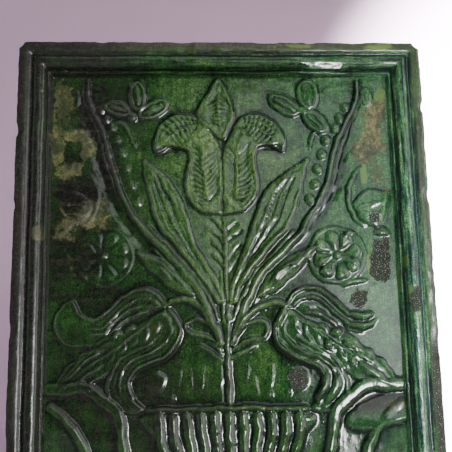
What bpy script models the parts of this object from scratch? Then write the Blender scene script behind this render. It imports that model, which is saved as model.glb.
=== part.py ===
"""A moulded relief stove tile of glazed fired clay: one solid, in metres, +Z up, front towards -Y.

The origin is on the collar's rear rim, in the middle of its lower run, where the tile is bedded
into the stove's wall. The relief is drawn in millimetres on a sheet the size of the tile, as spots
(across, down): across from the tile's middle line, down from its top edge.
"""

import math

import bmesh
import bpy
import numpy as np
from mathutils import Vector
from mathutils.geometry import delaunay_2d_cdt

# Driving dimensions, in metres
TILE_WIDTH = 0.210
TILE_HEIGHT = 0.270
CORNER_RADIUS = 0.0045
INNER_CORNER_RADIUS = 0.0012
PLATE_THICKNESS = 0.0085
RELIEF_RISE = 0.0048

# The frame's moulding, from the outer edge inwards
EDGE_ROUND = 0.0012
BAND_WIDTH = 0.0050
BAND_GROOVE_WIDTH = 0.0018
BAND_GROOVE_DEPTH = 0.0012
ROLL_WIDTH = 0.0073
ROLL_RISE = 0.0012
ROLL_STEP_DOWN = 0.0036
BEAD_WIDTH = 0.0014
BEAD_RISE = 0.0008
BEAD_STEP_DOWN = 0.0018
FIELD_STEP_DOWN = 0.0024

# The collar behind the plate
COLLAR_SETBACK = 0.0180
COLLAR_DEPTH = 0.0500
COLLAR_WALL = 0.0090
COLLAR_LIP_WIDTH = 0.0035
COLLAR_LIP_HEIGHT = 0.0090
COLLAR_CORNER_RADIUS = 0.0120

# How finely the solid is faceted
CORNER_STEPS = 4
LINE_STEP = 5.0
GROUND_STEP = 8.0
SPOT_MERGE = 0.25
PANEL_MARGIN = 0.5

# The drawn sheet, in millimetres
DRAWN_WIDTH = 210.0
DRAWN_HEIGHT = 270.0
DRAWN_FRAME = 17.6
DRAWN_RISE = 4.8

# The forms are drawn as they look level with the frame's face, so each spot on the sunk field is
# set out from the spot that the drawing is seen from
SET_OUT = 1.0132
SEEN_FROM = (-21.9, 200.35)

GLAZE_COLOUR = (0.035, 0.060, 0.028, 1.0)
GLAZE_ROUGHNESS = 0.22


def smooth_line(points, closed=False, step=LINE_STEP):
    """A Catmull-Rom line through the spots, with a point about every step."""
    spots = [np.array(p, float) for p in points]
    count = len(spots)
    if closed:
        ends = [(k - 1, k, k + 1, k + 2) for k in range(count)]
        around = [tuple(spots[i % count] for i in group) for group in ends]
    else:
        padded = [2 * spots[0] - spots[1]] + spots + [2 * spots[-1] - spots[-2]]
        around = [tuple(padded[k : k + 4]) for k in range(count - 1)]
    line = []
    for before, start, end, after in around:
        pieces = max(1, round(float(np.linalg.norm(end - start)) / step))
        for piece in range(pieces):
            t = piece / pieces
            line.append(
                0.5
                * (
                    2 * start
                    + (end - before) * t
                    + (2 * before - 5 * start + 4 * end - after) * t**2
                    + (3 * start - before - 3 * end + after) * t**3
                )
            )
    line.append(line[0] if closed else spots[-1])
    return np.array(line)


def set_out(points):
    """Drawn spots, put where they lie on the sunk field."""
    centre = np.array(SEEN_FROM)
    return [centre + SET_OUT * (np.array(p, float) - centre) for p in points]


def nearest_on_line(spots, line):
    """Each spot's distance to the line, and the nearest place as a share of the line's points."""
    nearest = np.full(len(spots), np.inf)
    share = np.zeros(len(spots))
    last = len(line) - 1
    for k in range(last):
        start = line[k]
        run = line[k + 1] - start
        along = np.clip((spots - start) @ run / max(run @ run, 1e-9), 0.0, 1.0)
        apart = np.linalg.norm(spots - start - along[:, None] * run, axis=1)
        closer = apart < nearest
        nearest[closer] = apart[closer]
        share[closer] = (k + along[closer]) / last
    return nearest, share


def inside_outline(spots, line):
    """Which spots lie inside a closed line, by counting the crossings to one side."""
    inside = np.zeros(len(spots), bool)
    for (x0, z0), (x1, z1) in zip(line[:-1], line[1:]):
        if z0 == z1:
            continue
        level = (spots[:, 1] >= z0) != (spots[:, 1] >= z1)
        crossing = x0 + (spots[:, 1] - z0) * (x1 - x0) / (z1 - z0)
        inside ^= level & (spots[:, 0] < crossing)
    return inside


class Ridge:
    """A rounded band of clay along a line. Its ends narrow to the given shares of the width."""

    def __init__(self, points, width, rise, ends=(1.0, 1.0), closed=False):
        self.line = smooth_line(set_out(points), closed)
        self.closed = closed
        self.width = width
        self.rise = rise
        self.ends = ends

    def half_width(self, share):
        first, last = self.ends
        swell = np.sin(np.pi * np.clip(share, 0.0, 1.0)) ** 0.6
        return 0.5 * self.width * (swell + (1 - swell) * (first + (last - first) * share))

    def heights(self, spots):
        apart, share = nearest_on_line(spots, self.line)
        reach = np.clip(1 - (apart / self.half_width(share)) ** 2, 0.0, 1.0)
        return self.rise * reach**0.6

    def contours(self):
        rows = (-1.0, 0.0, 1.0) if self.width < 3.6 else (-1.0, -0.62, 0.62, 1.0)
        if self.closed:
            ahead = np.roll(self.line[:-1], -1, axis=0)
            behind = np.roll(self.line[:-1], 1, axis=0)
            run = np.vstack([ahead - behind, (ahead - behind)[:1]])
        else:
            run = np.gradient(self.line, axis=0)
        side = np.stack([-run[:, 1], run[:, 0]], axis=1)
        side /= np.maximum(np.linalg.norm(side, axis=1), 1e-9)[:, None]
        reach = self.half_width(np.linspace(0.0, 1.0, len(self.line)))[:, None]
        return [self.line + side * reach * row for row in rows]


class Patch:
    """A raised area inside a closed outline, with a rounded edge of the given width."""

    def __init__(self, points, rise, edge=2.0):
        self.line = smooth_line(set_out(points), closed=True)
        self.rise = rise
        self.edge = edge

    def heights(self, spots):
        apart, _ = nearest_on_line(spots, self.line)
        reach = np.clip(apart / self.edge, 0.0, 1.0)
        return np.where(inside_outline(spots, self.line), self.rise * reach**0.7, 0.0)

    def contours(self):
        ring = self.line[:-1]
        run = np.roll(ring, -1, axis=0) - np.roll(ring, 1, axis=0)
        side = np.stack([-run[:, 1], run[:, 0]], axis=1)
        side /= np.maximum(np.linalg.norm(side, axis=1), 1e-9)[:, None]
        if not inside_outline(ring[:1] + 0.1 * side[:1], self.line)[0]:
            side = -side
        inner = ring + self.edge * side
        inner = np.vstack([inner, inner[:1]])
        return [self.line, inner[self.heights(inner) > 0.8 * self.rise]]


class Dome:
    """A round or oval boss, turned by some degrees."""

    def __init__(self, centre, across, down, rise, turn=0.0, sides=8):
        self.centre = set_out([centre])[0]
        self.radii = np.array((across, down), float)
        self.rise = rise
        self.sides = sides
        angle = math.radians(turn)
        self.axes = np.array(
            ((math.cos(angle), math.sin(angle)), (-math.sin(angle), math.cos(angle)))
        )

    def heights(self, spots):
        local = (spots - self.centre) @ self.axes.T / self.radii
        return self.rise * np.clip(1 - (local**2).sum(axis=1), 0.0, 1.0) ** 0.5

    def contours(self):
        angles = np.linspace(0.0, 2 * np.pi, self.sides + 1)
        ring = np.stack([np.cos(angles), np.sin(angles)], axis=1) * self.radii
        return [self.centre + ring * share @ self.axes for share in (1.0, 0.7, 0.0)]


def on_side(points, side, shift=0.0):
    """Spots drawn for the right half, put on the side +1 or -1, then moved across."""
    return [(side * across + shift, down) for across, down in points]


def circle(centre, radius, count=14):
    """Spots round a circle."""
    return [
        (
            centre[0] + radius * math.cos(2 * math.pi * k / count),
            centre[1] + radius * math.sin(2 * math.pi * k / count),
        )
        for k in range(count)
    ]


def tulip_forms():
    """The large flower in the middle: a pointed centre petal between two hooked ones."""
    petal = [
        (1.2, 91.5), (6, 92), (11.5, 89.5), (16.5, 83.5), (18, 77), (17.2, 69), (16.2, 62.5),
        (18, 58.5), (23, 56), (29, 58), (33.5, 60.8), (33.5, 54), (30.5, 47), (24.5, 41.8),
        (17, 41), (11, 43), (6.5, 48), (3, 54), (1.5, 62), (1.2, 78),
    ]  # fmt: skip
    diamond = [(0, 20.9), (4, 29), (8.5, 40.5), (4, 47.5), (0, 52.5), (-4, 47.5), (-9, 39.5), (-5, 28)]
    rib = [(12.5, 50.5), (9, 60), (8.5, 72), (7.2, 85)]
    forms = [Patch([(across - 1, down) for across, down in diamond], 3.6, 3.0)]
    for side in (-1, 1):
        outline = on_side(petal, side, -0.8)
        forms.append(Patch(outline, 2.0, 1.6))
        forms.append(Ridge(outline[1:17], 2.0, 3.4, (0.6, 0.4)))
        forms.append(Ridge(on_side(rib, side, -1.2), 2.2, 3.3, (0.5, 0.5)))
    return forms


def sheath_forms():
    """The two long leaves that wrap the middle stem, and the chevrons between them."""
    outer = [
        (41, 65), (38.8, 75), (36.8, 85), (34, 94), (30, 100.5), (24.5, 106), (18, 113), (12, 121), (6, 131),
    ]  # fmt: skip
    inner = [
        (38, 66.5), (31, 71.5), (25.5, 77.5), (21.5, 84), (18, 92), (15.5, 100), (11.5, 110), (7, 121),
        (3, 133),
    ]  # fmt: skip
    chevrons = (((5.5, 96), (0.8, 101)), ((6.5, 102), (0.8, 108)), ((6, 109), (0.8, 116)))
    forms = []
    for side in (-1, 1):
        margin = on_side(outer, side, 0.8)
        edge = on_side(inner, side, 0.6)
        forms.append(Patch(margin + edge[::-1], 1.9, 1.2))
        forms.append(Ridge(margin, 2.3, 3.3, (0.3, 0.7)))
        forms.append(Ridge(edge, 2.2, 3.3, (0.3, 0.7)))
        forms += [Ridge(on_side(mark, side), 2.0, 2.0, (0.4, 0.8)) for mark in chevrons]
    return forms


def stem_forms():
    """The middle stem, the long outer stems, the stems of the side flowers and their leaves."""
    long_stem = [
        (2.5, 157), (6.5, 147.5), (10.5, 137), (16, 126.5), (23.5, 117.5), (32, 109.5), (39.5, 101),
        (46.5, 90), (52.5, 78), (56, 66.5), (60, 54.5), (66, 41.5), (69.5, 33), (70, 23),
    ]  # fmt: skip
    flower_stem = [(3, 157), (7, 148), (11, 142), (16, 138.3), (22, 137), (29, 139)]
    under_leaf = [
        (16.5, 134), (21.5, 124.5), (28, 117.5), (35, 112.8), (44, 111), (37.5, 120.5), (31, 127), (24, 132),
    ]  # fmt: skip
    loop_leaf = [
        (3.5, 155), (8.5, 148.7), (13.5, 146.3), (18.5, 147), (20.2, 150.5), (17.5, 154), (11, 155),
        (5, 157.5),
    ]  # fmt: skip
    low_leaf = [(14.5, 158.3), (8, 161), (2.5, 165.5)]
    forms = [
        Ridge([(0.4, 96), (0.5, 118), (0.8, 142), (1, 166)], 2.6, 2.4, (0.5, 1.0)),
        Ridge([(1, 157), (1, 172), (1, 190)], 3.4, 2.8),
    ]
    for side in (-1, 1):
        forms.append(Ridge(on_side(long_stem, side, 0.5), 4.6, 3.2, (0.7, 0.5)))
        forms.append(Ridge(on_side(flower_stem, side), 3.7, 3.0, (0.7, 0.9)))
        forms.append(Patch(on_side(under_leaf, side, 0.5), 2.7, 2.0))
        forms.append(Ridge(on_side(loop_leaf, side, 0.4), 2.3, 2.6, closed=True))
        forms.append(Ridge(on_side(low_leaf, side, 0.3), 3.0, 2.4, (0.4, 0.8)))
    return forms


def side_tulip_forms():
    """The flowers that open to either side: an upper, a middle and a lower petal with curled ends."""
    upper = [
        (30, 139), (34.5, 133), (43, 130.5), (50.5, 133), (56, 139.5), (61, 144.5), (67, 146.5), (71, 143),
        (74, 136.5), (79.5, 138.5), (82, 144.5), (81.5, 151), (77, 156), (70, 157.8), (63.5, 157), (57, 152),
        (51, 147), (46, 143.5), (38, 142.5),
    ]  # fmt: skip
    upper_line = [(36, 139), (43, 137), (49, 139.5), (55, 146), (60, 150.5), (68, 152.5), (75, 150.5)]
    middle = [
        (30, 142), (38, 145), (47, 149.5), (56, 153), (63, 157), (69, 162), (75, 167), (80, 173), (83.4, 180),
        (75, 178.3), (66, 175), (58, 170.5), (49, 165), (40, 159.5), (32, 151.5),
    ]  # fmt: skip
    midrib = [(30, 142), (38, 147.5), (47, 154), (58, 162), (70, 170), (80, 178)]
    lower = [
        (28.5, 141), (24.5, 146), (23.2, 152.5), (26, 159.5), (32.5, 164.3), (40.5, 168), (45.8, 171.5),
        (47.6, 176.5), (45.5, 181.5), (41.5, 184), (36.5, 186.5), (41, 189.6), (48, 190.5), (54, 188),
        (57.3, 182), (57, 175), (52.5, 168.5), (45, 163), (37, 159.5), (31, 154), (30, 147),
    ]  # fmt: skip
    lower_line = [
        (29, 145), (28, 152), (31, 158.5), (38, 162.8), (45.5, 166.3), (50.3, 171), (51.5, 177), (49, 183),
    ]  # fmt: skip
    forms = []
    for side in (-1, 1):
        shift = 0.7 if side > 0 else 0.3
        rim = on_side(upper, side, shift)
        lip = on_side(lower, side, shift)
        forms.append(Patch(rim, 2.0, 1.4))
        forms.append(Ridge(rim[:8], 2.2, 3.5, (0.5, 0.7)))
        forms.append(Ridge(rim[8:19], 2.2, 3.2, (0.6, 0.5)))
        forms.append(Ridge(on_side(upper_line, side, shift), 2.2, 3.2, (0.3, 0.4)))
        forms.append(Patch(on_side(middle, side, shift), 2.3, 1.8))
        forms.append(Ridge(on_side(midrib, side, shift), 2.8, 3.4, (0.5, 0.3)))
        forms.append(Patch(lip, 2.0, 1.4))
        forms.append(Ridge(lip[:10], 2.3, 3.6, (0.5, 0.5)))
        forms.append(Ridge(on_side(lower_line, side, shift), 2.2, 3.4, (0.4, 0.4)))
        forms.append(Ridge(lip[10:20], 2.2, 3.2, (0.5, 0.5)))
        forms.append(Dome((side * 34.5, 176.8), 4.8, 4.8, 1.9))
    return forms


def rosette_forms():
    """A flat round flower on either side: a ring, eight petals and a button."""
    ring_radius = 14.0
    petals = 8
    forms = []
    for centre in ((-60.0, 114.0), (56.5, 114.0)):
        forms.append(Ridge(circle(centre, ring_radius), 2.4, 2.9, closed=True))
        forms.append(Dome(centre, 2.8, 2.8, 2.8))
        for k in range(petals):
            turn = 360 * (k + 0.5) / petals
            out = circle(centre, 7.8, petals * 2)[2 * k + 1]
            forms.append(Dome(out, 4.0, 2.6, 2.4, turn, sides=6))
    return forms


def berry_forms():
    """The buds and berries along the long stems."""
    berries = [(57, 47.5), (54, 54), (51, 61.7), (48.5, 70), (46.5, 78.5), (43, 86.5)]
    buds = [(63.3, 37), (60, 42.5)]
    spots = [spot for side in (-1, 1) for spot in on_side(berries + buds, side, 0.2)]
    return [Dome(spot, 2.9, 2.9, 2.9, sides=7) for spot in spots]


def trefoil_forms():
    """The three-lobed leaves at the top, which lean differently left and right."""
    forms = [
        Dome((-43.5, 30), 4.6, 8.0, 3.4),
        Dome((-35.5, 37.5), 8.6, 4.4, 3.2, -25),
        Dome((-54, 37.5), 6.6, 3.8, 3.0, 20),
        Dome((45, 29), 5.2, 8.0, 3.4),
        Dome((32.5, 35), 8.6, 4.4, 3.2, 30),
        Dome((48, 43.5), 7.6, 4.3, 3.2, 38),
    ]
    stalk = [(53, 44), (48.5, 47), (45.5, 52), (45, 57.5)]
    for side in (-1, 1):
        forms.append(Dome((side * 44, 40), 3.4, 3.4, 3.6, sides=6))
        forms.append(Ridge(on_side(stalk, side, -0.5), 2.8, 2.4, (0.4, 0.3)))
    return forms


def edge_leaf_forms():
    """The leaves against the frame, and the scrolls that fill the lower corners."""
    arc = [(70, 69), (66.5, 72.5), (64, 77.5), (63, 83.5), (64, 90), (67, 96), (71, 99)]
    leaf = [(66, 88), (70, 84), (76, 82), (83.2, 82.5), (82.5, 90), (79.5, 98), (73, 99), (68, 95)]
    scroll = [(83.6, 178.8), (77, 179), (70.5, 177.6), (64.5, 179.3), (59.5, 187), (56, 197)]
    low_scroll = [(56, 197), (51, 210), (44, 223), (34, 234.5), (22, 243)]
    vein = [
        (83.4, 186.5), (76, 193), (69.5, 203), (65.5, 216), (66, 228), (73, 236), (80, 231), (78.5, 223.5),
    ]  # fmt: skip
    corner_leaf = [(64, 217), (58.5, 226), (50, 235), (40, 243), (54, 245.5), (66, 243), (71, 237)]
    forms = []
    for side in (-1, 1):
        forms.append(Ridge(on_side(arc, side), 2.8, 2.8, (0.4, 0.4)))
        forms.append(Patch(on_side(leaf, side), 2.4, 2.0))
        forms.append(Dome((side * 75, 31), 3.2, 5.2, 2.6))
        forms.append(Ridge(on_side(scroll, side), 5.2, 3.6, (0.5, 0.8)))
        forms.append(Ridge(on_side(low_scroll, side), 5.2, 3.6, (0.8, 0.4)))
        forms.append(Ridge(on_side(vein, side), 3.8, 3.0, (0.4, 0.3)))
        forms.append(Patch(on_side(corner_leaf, side), 2.2, 2.2))
    return forms


def vase_forms():
    """The fluted vase at the bottom, with its rim, neck and foot."""
    flute_pitch = 6.6
    half = [(36.3, 190.5), (35, 203), (28.5, 217), (17, 228.5), (8, 235), (12, 241), (22, 246.4), (24, 249)]
    flute = [(1.0, 192.5), (0.97, 204), (0.78, 217), (0.45, 227.5)]
    body = [(-across, down) for across, down in half] + half[::-1]
    forms = [
        Patch(body, 2.4, 1.8),
        Ridge([(-37.5, 189.3), (0, 188.8), (37.5, 189.3)], 3.7, 4.6, (0.7, 0.7)),
        Ridge([(-9.5, 234.5), (0, 235.5), (9.5, 234.5)], 3.7, 4.4, (0.6, 0.6)),
        Ridge([(-23, 246.6), (0, 247), (23, 246.6)], 3.7, 4.2, (0.7, 0.7)),
    ]
    for k in range(-5, 6):
        rod = [(k * flute_pitch * share, down) for share, down in flute]
        forms.append(Ridge(rod, 5.6, 4.2, (0.9, 0.35)))
    return forms


def relief_forms():
    """Every raised form of the relief."""
    return (
        tulip_forms()
        + sheath_forms()
        + stem_forms()
        + side_tulip_forms()
        + rosette_forms()
        + berry_forms()
        + trefoil_forms()
        + edge_leaf_forms()
        + vase_forms()
    )


def ring_spots(inset, radius):
    """Spots (x, z) round the tile at an inset from its edges, anticlockwise seen from the front."""
    half_width = TILE_WIDTH / 2 - inset - radius
    half_height = TILE_HEIGHT / 2 - inset - radius
    spots = []
    for corner, (to_side, to_top) in enumerate(((1, 1), (-1, 1), (-1, -1), (1, -1))):
        for k in range(CORNER_STEPS + 1):
            angle = math.radians(90 * (corner + k / CORNER_STEPS))
            spots.append(
                (
                    to_side * half_width + radius * math.cos(angle),
                    to_top * half_height + radius * math.sin(angle),
                )
            )
    return spots


def frame_profile():
    """The moulding's section, from the tile's edge to the field: (inset, depth behind the band)."""
    groove = EDGE_ROUND + BAND_WIDTH
    roll = groove + BAND_GROOVE_WIDTH
    bead = roll + ROLL_WIDTH
    field = bead + BEAD_WIDTH
    roll_foot = ROLL_STEP_DOWN
    bead_foot = roll_foot + BEAD_STEP_DOWN
    return [
        (0.0, EDGE_ROUND),
        (EDGE_ROUND, 0.0),
        (groove, 0.0),
        (groove + BAND_GROOVE_WIDTH / 2, BAND_GROOVE_DEPTH),
        (roll + ROLL_WIDTH * 0.12, -ROLL_RISE * 0.6),
        (roll + ROLL_WIDTH * 0.42, -ROLL_RISE),
        (roll + ROLL_WIDTH * 0.82, -ROLL_RISE * 0.2),
        (bead - ROLL_WIDTH * 0.04, roll_foot),
        (bead + BEAD_WIDTH * 0.2, roll_foot + BEAD_STEP_DOWN * 0.4),
        (bead + BEAD_WIDTH * 0.5, roll_foot + BEAD_STEP_DOWN * 0.4 - BEAD_RISE),
        (bead + BEAD_WIDTH * 0.9, bead_foot),
        (field + FIELD_STEP_DOWN * 0.35, bead_foot + FIELD_STEP_DOWN),
    ]


def frame_width():
    """The moulding's whole width, from the tile's edge to the field."""
    return frame_profile()[-1][0]


def field_depth():
    """How far the field lies behind the frame's outer band."""
    return frame_profile()[-1][1]


def collar_profile(back):
    """The collar's section from inside to the plate's back: (inset, depth), with its lip at the rear."""
    rim = back + COLLAR_DEPTH
    inner = COLLAR_SETBACK + COLLAR_WALL
    lip_outer = COLLAR_SETBACK - COLLAR_LIP_WIDTH
    return [
        (inner, back),
        (inner, rim),
        (lip_outer, rim),
        (lip_outer, rim - COLLAR_LIP_HEIGHT),
        (COLLAR_SETBACK, rim - COLLAR_LIP_HEIGHT - COLLAR_LIP_WIDTH),
        (COLLAR_SETBACK, back),
    ]


def highest(forms, spots):
    """How far the highest of the forms stands above the field at each spot."""
    return np.max([form.heights(spots) for form in forms], axis=0)


def ground_spots(forms, half_width, top, bottom):
    """A loose net of spots in staggered rows, where no form covers the field."""
    spots = []
    rows = round((bottom - top) / GROUND_STEP)
    columns = round(2 * half_width / GROUND_STEP)
    for row in range(rows + 1):
        stagger = 0.5 * (row % 2)
        for column in range(columns):
            across = (2 * (column + stagger) / (columns - 0.5) - 1) * half_width
            spots.append((across, top + row / rows * (bottom - top)))
    bare = highest(forms, np.array(spots)) == 0.0
    return [spot for spot, flat in zip(spots, bare) if flat]


def panel_lines(forms, edge):
    """The spots and edges that the field is divided along: its border and every form's contours."""
    half_width = DRAWN_WIDTH / 2 - DRAWN_FRAME - PANEL_MARGIN
    top = DRAWN_FRAME + PANEL_MARGIN
    bottom = DRAWN_HEIGHT - DRAWN_FRAME - PANEL_MARGIN
    spots = list(edge) + ground_spots(forms, half_width, top, bottom)
    edges = [(k, (k + 1) % len(edge)) for k in range(len(edge))]
    for form in forms:
        for contour in form.contours():
            previous = None
            for across, down in contour:
                if abs(across) > half_width or not top < down < bottom:
                    previous = None
                    continue
                spots.append((across, down))
                if previous is not None:
                    edges.append((previous, len(spots) - 1))
                previous = len(spots) - 1
    return spots, edges


def drawn_to_tile():
    """How many metres of panel one drawn millimetre stands for, across and down."""
    wide = (TILE_WIDTH - 2 * frame_width()) / (DRAWN_WIDTH - 2 * DRAWN_FRAME)
    high = (TILE_HEIGHT - 2 * frame_width()) / (DRAWN_HEIGHT - 2 * DRAWN_FRAME)
    return wide, high


def add_ring(mesh, inset, depth, radius, plan):
    """One ring of corners at a depth behind the outer band's face."""
    level = plan["front"] + depth
    return [mesh.verts.new((x, level, z + plan["middle"])) for x, z in ring_spots(inset, radius)]


def bridge(mesh, ring, following):
    """Faces between two rings that follow each other along the skin."""
    count = len(ring)
    for k in range(count):
        n = (k + 1) % count
        mesh.faces.new((ring[k], ring[n], following[n], following[k]))


def add_relief(mesh, border, plan):
    """The field and its relief inside the frame, joined to the border ring."""
    wide, high = drawn_to_tile()
    middle = DRAWN_HEIGHT / 2
    edge = [(v.co.x / wide, middle - (v.co.z - plan["middle"]) / high) for v in border]
    forms = relief_forms()
    spots, edges = panel_lines(forms, edge)
    flat = [Vector((across, -down)) for across, down in spots]
    placed, _, faces, sources, _, _ = delaunay_2d_cdt(flat, edges, [], 0, SPOT_MERGE)
    across_down = np.array([(v.x, -v.y) for v in placed])
    rise = highest(forms, across_down)
    scale = RELIEF_RISE / DRAWN_RISE
    corners = []
    for (across, down), up, source in zip(across_down, rise, sources):
        ringed = [k for k in source if k < len(border)]
        if ringed:
            corners.append(border[ringed[0]])
            continue
        depth = field_depth() - scale * float(up)
        place = (across * wide, plan["front"] + depth, (middle - down) * high + plan["middle"])
        corners.append(mesh.verts.new(place))
    for face in faces:
        mesh.faces.new([corners[k] for k in face])


def tile_mesh():
    """The whole tile as one closed skin, from the collar's inside round to the relief."""
    back = field_depth() + PLATE_THICKNESS
    rim = COLLAR_SETBACK + (COLLAR_WALL - COLLAR_LIP_WIDTH) / 2
    plan = {"front": -(back + COLLAR_DEPTH), "middle": TILE_HEIGHT / 2 - rim}
    mesh = bmesh.new()
    rings = []
    for inset, depth in collar_profile(back):
        rings.append(add_ring(mesh, inset, depth, COLLAR_CORNER_RADIUS, plan))
    rings.append(add_ring(mesh, 0.0, back, CORNER_RADIUS, plan))
    for inset, depth in frame_profile():
        radius = max(CORNER_RADIUS - inset, INNER_CORNER_RADIUS)
        rings.append(add_ring(mesh, inset, depth, radius, plan))
    for ring, following in zip(rings[:-1], rings[1:]):
        bridge(mesh, ring, following)
    mesh.faces.new(rings[0][::-1])
    add_relief(mesh, rings[-1], plan)
    bmesh.ops.recalc_face_normals(mesh, faces=mesh.faces[:])
    return mesh


def glaze_material():
    """The green glaze's plain colour and gloss."""
    material = bpy.data.materials.new("green_glaze")
    material.use_nodes = True
    shader = material.node_tree.nodes["Principled BSDF"]
    shader.inputs["Base Color"].default_value = GLAZE_COLOUR
    shader.inputs["Roughness"].default_value = GLAZE_ROUGHNESS
    shader.inputs["Metallic"].default_value = 0.0
    return material


def build_tile():
    """Clears the scene and puts the tile in it."""
    for leftover in list(bpy.data.objects):
        bpy.data.objects.remove(leftover, do_unlink=True)
    shape = bpy.data.meshes.new("stove_tile")
    skin = tile_mesh()
    skin.to_mesh(shape)
    skin.free()
    shape.shade_smooth()
    shape.set_sharp_from_angle(angle=math.radians(35))
    shape.materials.append(glaze_material())
    tile = bpy.data.objects.new("stove_tile", shape)
    bpy.context.scene.collection.objects.link(tile)


build_tile()
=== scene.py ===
"""The looks of the green-glazed relief stove tile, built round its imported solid.

The relief is drawn in millimetres on a sheet the size of the tile, as spots (across, down): across
from the tile's middle line, down from its top edge. Depths are measured back from the face of the
frame's outer band.
"""

import math

import bmesh
import bpy
import numpy as np
from mathutils import Matrix, Vector, noise


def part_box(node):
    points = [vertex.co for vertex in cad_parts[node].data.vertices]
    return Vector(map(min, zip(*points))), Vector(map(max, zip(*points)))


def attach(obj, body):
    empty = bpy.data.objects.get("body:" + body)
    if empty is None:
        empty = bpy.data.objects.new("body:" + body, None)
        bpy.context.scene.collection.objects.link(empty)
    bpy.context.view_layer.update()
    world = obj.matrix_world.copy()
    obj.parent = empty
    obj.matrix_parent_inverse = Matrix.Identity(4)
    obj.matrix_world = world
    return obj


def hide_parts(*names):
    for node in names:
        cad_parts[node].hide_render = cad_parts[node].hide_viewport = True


MM = 0.001

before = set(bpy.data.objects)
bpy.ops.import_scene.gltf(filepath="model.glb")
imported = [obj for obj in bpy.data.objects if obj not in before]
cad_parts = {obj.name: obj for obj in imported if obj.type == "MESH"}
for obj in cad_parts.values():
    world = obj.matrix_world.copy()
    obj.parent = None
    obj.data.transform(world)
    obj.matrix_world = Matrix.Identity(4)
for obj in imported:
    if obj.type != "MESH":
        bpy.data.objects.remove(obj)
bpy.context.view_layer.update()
tile_low, tile_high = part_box("stove_tile")

# The tile's sizes in millimetres, from the solid
WIDTH = (tile_high.x - tile_low.x) / MM
HEIGHT = (tile_high.z - tile_low.z) / MM
DEPTH = (tile_high.y - tile_low.y) / MM

# The frame's moulding, from the outer edge inwards, in millimetres
ROLL_RISE = 1.2
FRAME_WIDTH = 17.5
FIELD_DEPTH = 7.8
PLATE_BACK = 16.3
CORNER_RADIUS = 4.5

# The collar behind the plate, in millimetres
COLLAR_SETBACK = 18.0
COLLAR_WALL = 9.0
COLLAR_LIP_WIDTH = 3.5
COLLAR_LIP_HEIGHT = 9.0
COLLAR_RADIUS = 12.0
RIM_DEPTH = DEPTH - ROLL_RISE

# The forms are drawn as they look level with the frame's face, so the sheet is set out by this
# much from the spot that the drawing is seen from, to lie on the sunk field
SET_OUT = 1.0132
SEEN_FROM = (-21.9, 200.35)

# The net that the relief is worked out on, in millimetres
CELL = 0.3
GLAZE_SPREAD = 0.32

# How many spreads of a blur's bell curve are worked out to each side
BELL_REACH = 2.6

LEFT, RIGHT = -1, 1


# Curves and soft random fields

def trail(points, closed=False, step=1.2):
    """A smooth line through the spots, with a point about every step."""
    spots = [np.array(p, float) for p in points]
    count = len(spots)
    if closed:
        groups = [[spots[(k + i) % count] for i in (-1, 0, 1, 2)] for k in range(count)]
    else:
        padded = [2 * spots[0] - spots[1], *spots, 2 * spots[-1] - spots[-2]]
        groups = [padded[k:k + 4] for k in range(count - 1)]
    line = []
    for before, start, end, after in groups:
        pieces = max(2, math.ceil(float(np.linalg.norm(end - start)) / step))
        for piece in range(pieces):
            t = piece / pieces
            curve = (3 * start - before - 3 * end + after) * t**3
            curve += (2 * before - 5 * start + 4 * end - after) * t**2
            line.append(0.5 * (2 * start + (end - before) * t + curve))
    line.append(line[0] if closed else spots[-1])
    return np.array(line)


def along(line, share):
    """The spot at a share of a line's length."""
    steps = np.linalg.norm(np.diff(line, axis=0), axis=1)
    gone = np.concatenate([[0.0], np.cumsum(steps)])
    return np.array([np.interp(share * gone[-1], gone, line[:, i]) for i in (0, 1)])


def oval(centre, across, down, turn=0.0, count=24):
    """Spots round an oval with two half widths, turned by some degrees."""
    a = math.radians(turn)
    spots = []
    for k in range(count):
        u = across * math.cos(2 * math.pi * k / count)
        v = down * math.sin(2 * math.pi * k / count)
        x = centre[0] + u * math.cos(a) - v * math.sin(a)
        spots.append((x, centre[1] + u * math.sin(a) + v * math.cos(a)))
    return spots


def moved(points, across, down):
    """The spots, each moved by the same step."""
    return [(x + across, z + down) for x, z in points]


def between(first, second, share):
    """Spots at a share of the way from each of one list to its fellow in another."""
    return [(1 - share) * np.array(a) + share * np.array(b) for a, b in zip(first, second)]


def softened(field, reach):
    """The field blurred by a bell curve whose spread is reach, in millimetres."""
    spread = reach / CELL
    half = max(1, int(math.ceil(BELL_REACH * spread)))
    weights = np.exp(-0.5 * (np.arange(-half, half + 1) / spread) ** 2)
    weights /= weights.sum()
    for axis in (0, 1):
        pad = [(half, half) if i == axis else (0, 0) for i in (0, 1)]
        wide = np.pad(field, pad, mode="edge")
        total = np.zeros_like(field)
        size = field.shape[axis]
        for k, weight in enumerate(weights):
            part = wide[k:k + size] if axis == 0 else wide[:, k:k + size]
            total += weight * part
        field = total
    return field


ROWS = int(round(HEIGHT / CELL)) + 1
COLUMNS = int(round(WIDTH / CELL)) + 1
ACROSS = (np.arange(COLUMNS) * CELL - WIDTH / 2).astype(np.float32)
DOWN = (np.arange(ROWS) * CELL).astype(np.float32)


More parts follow.
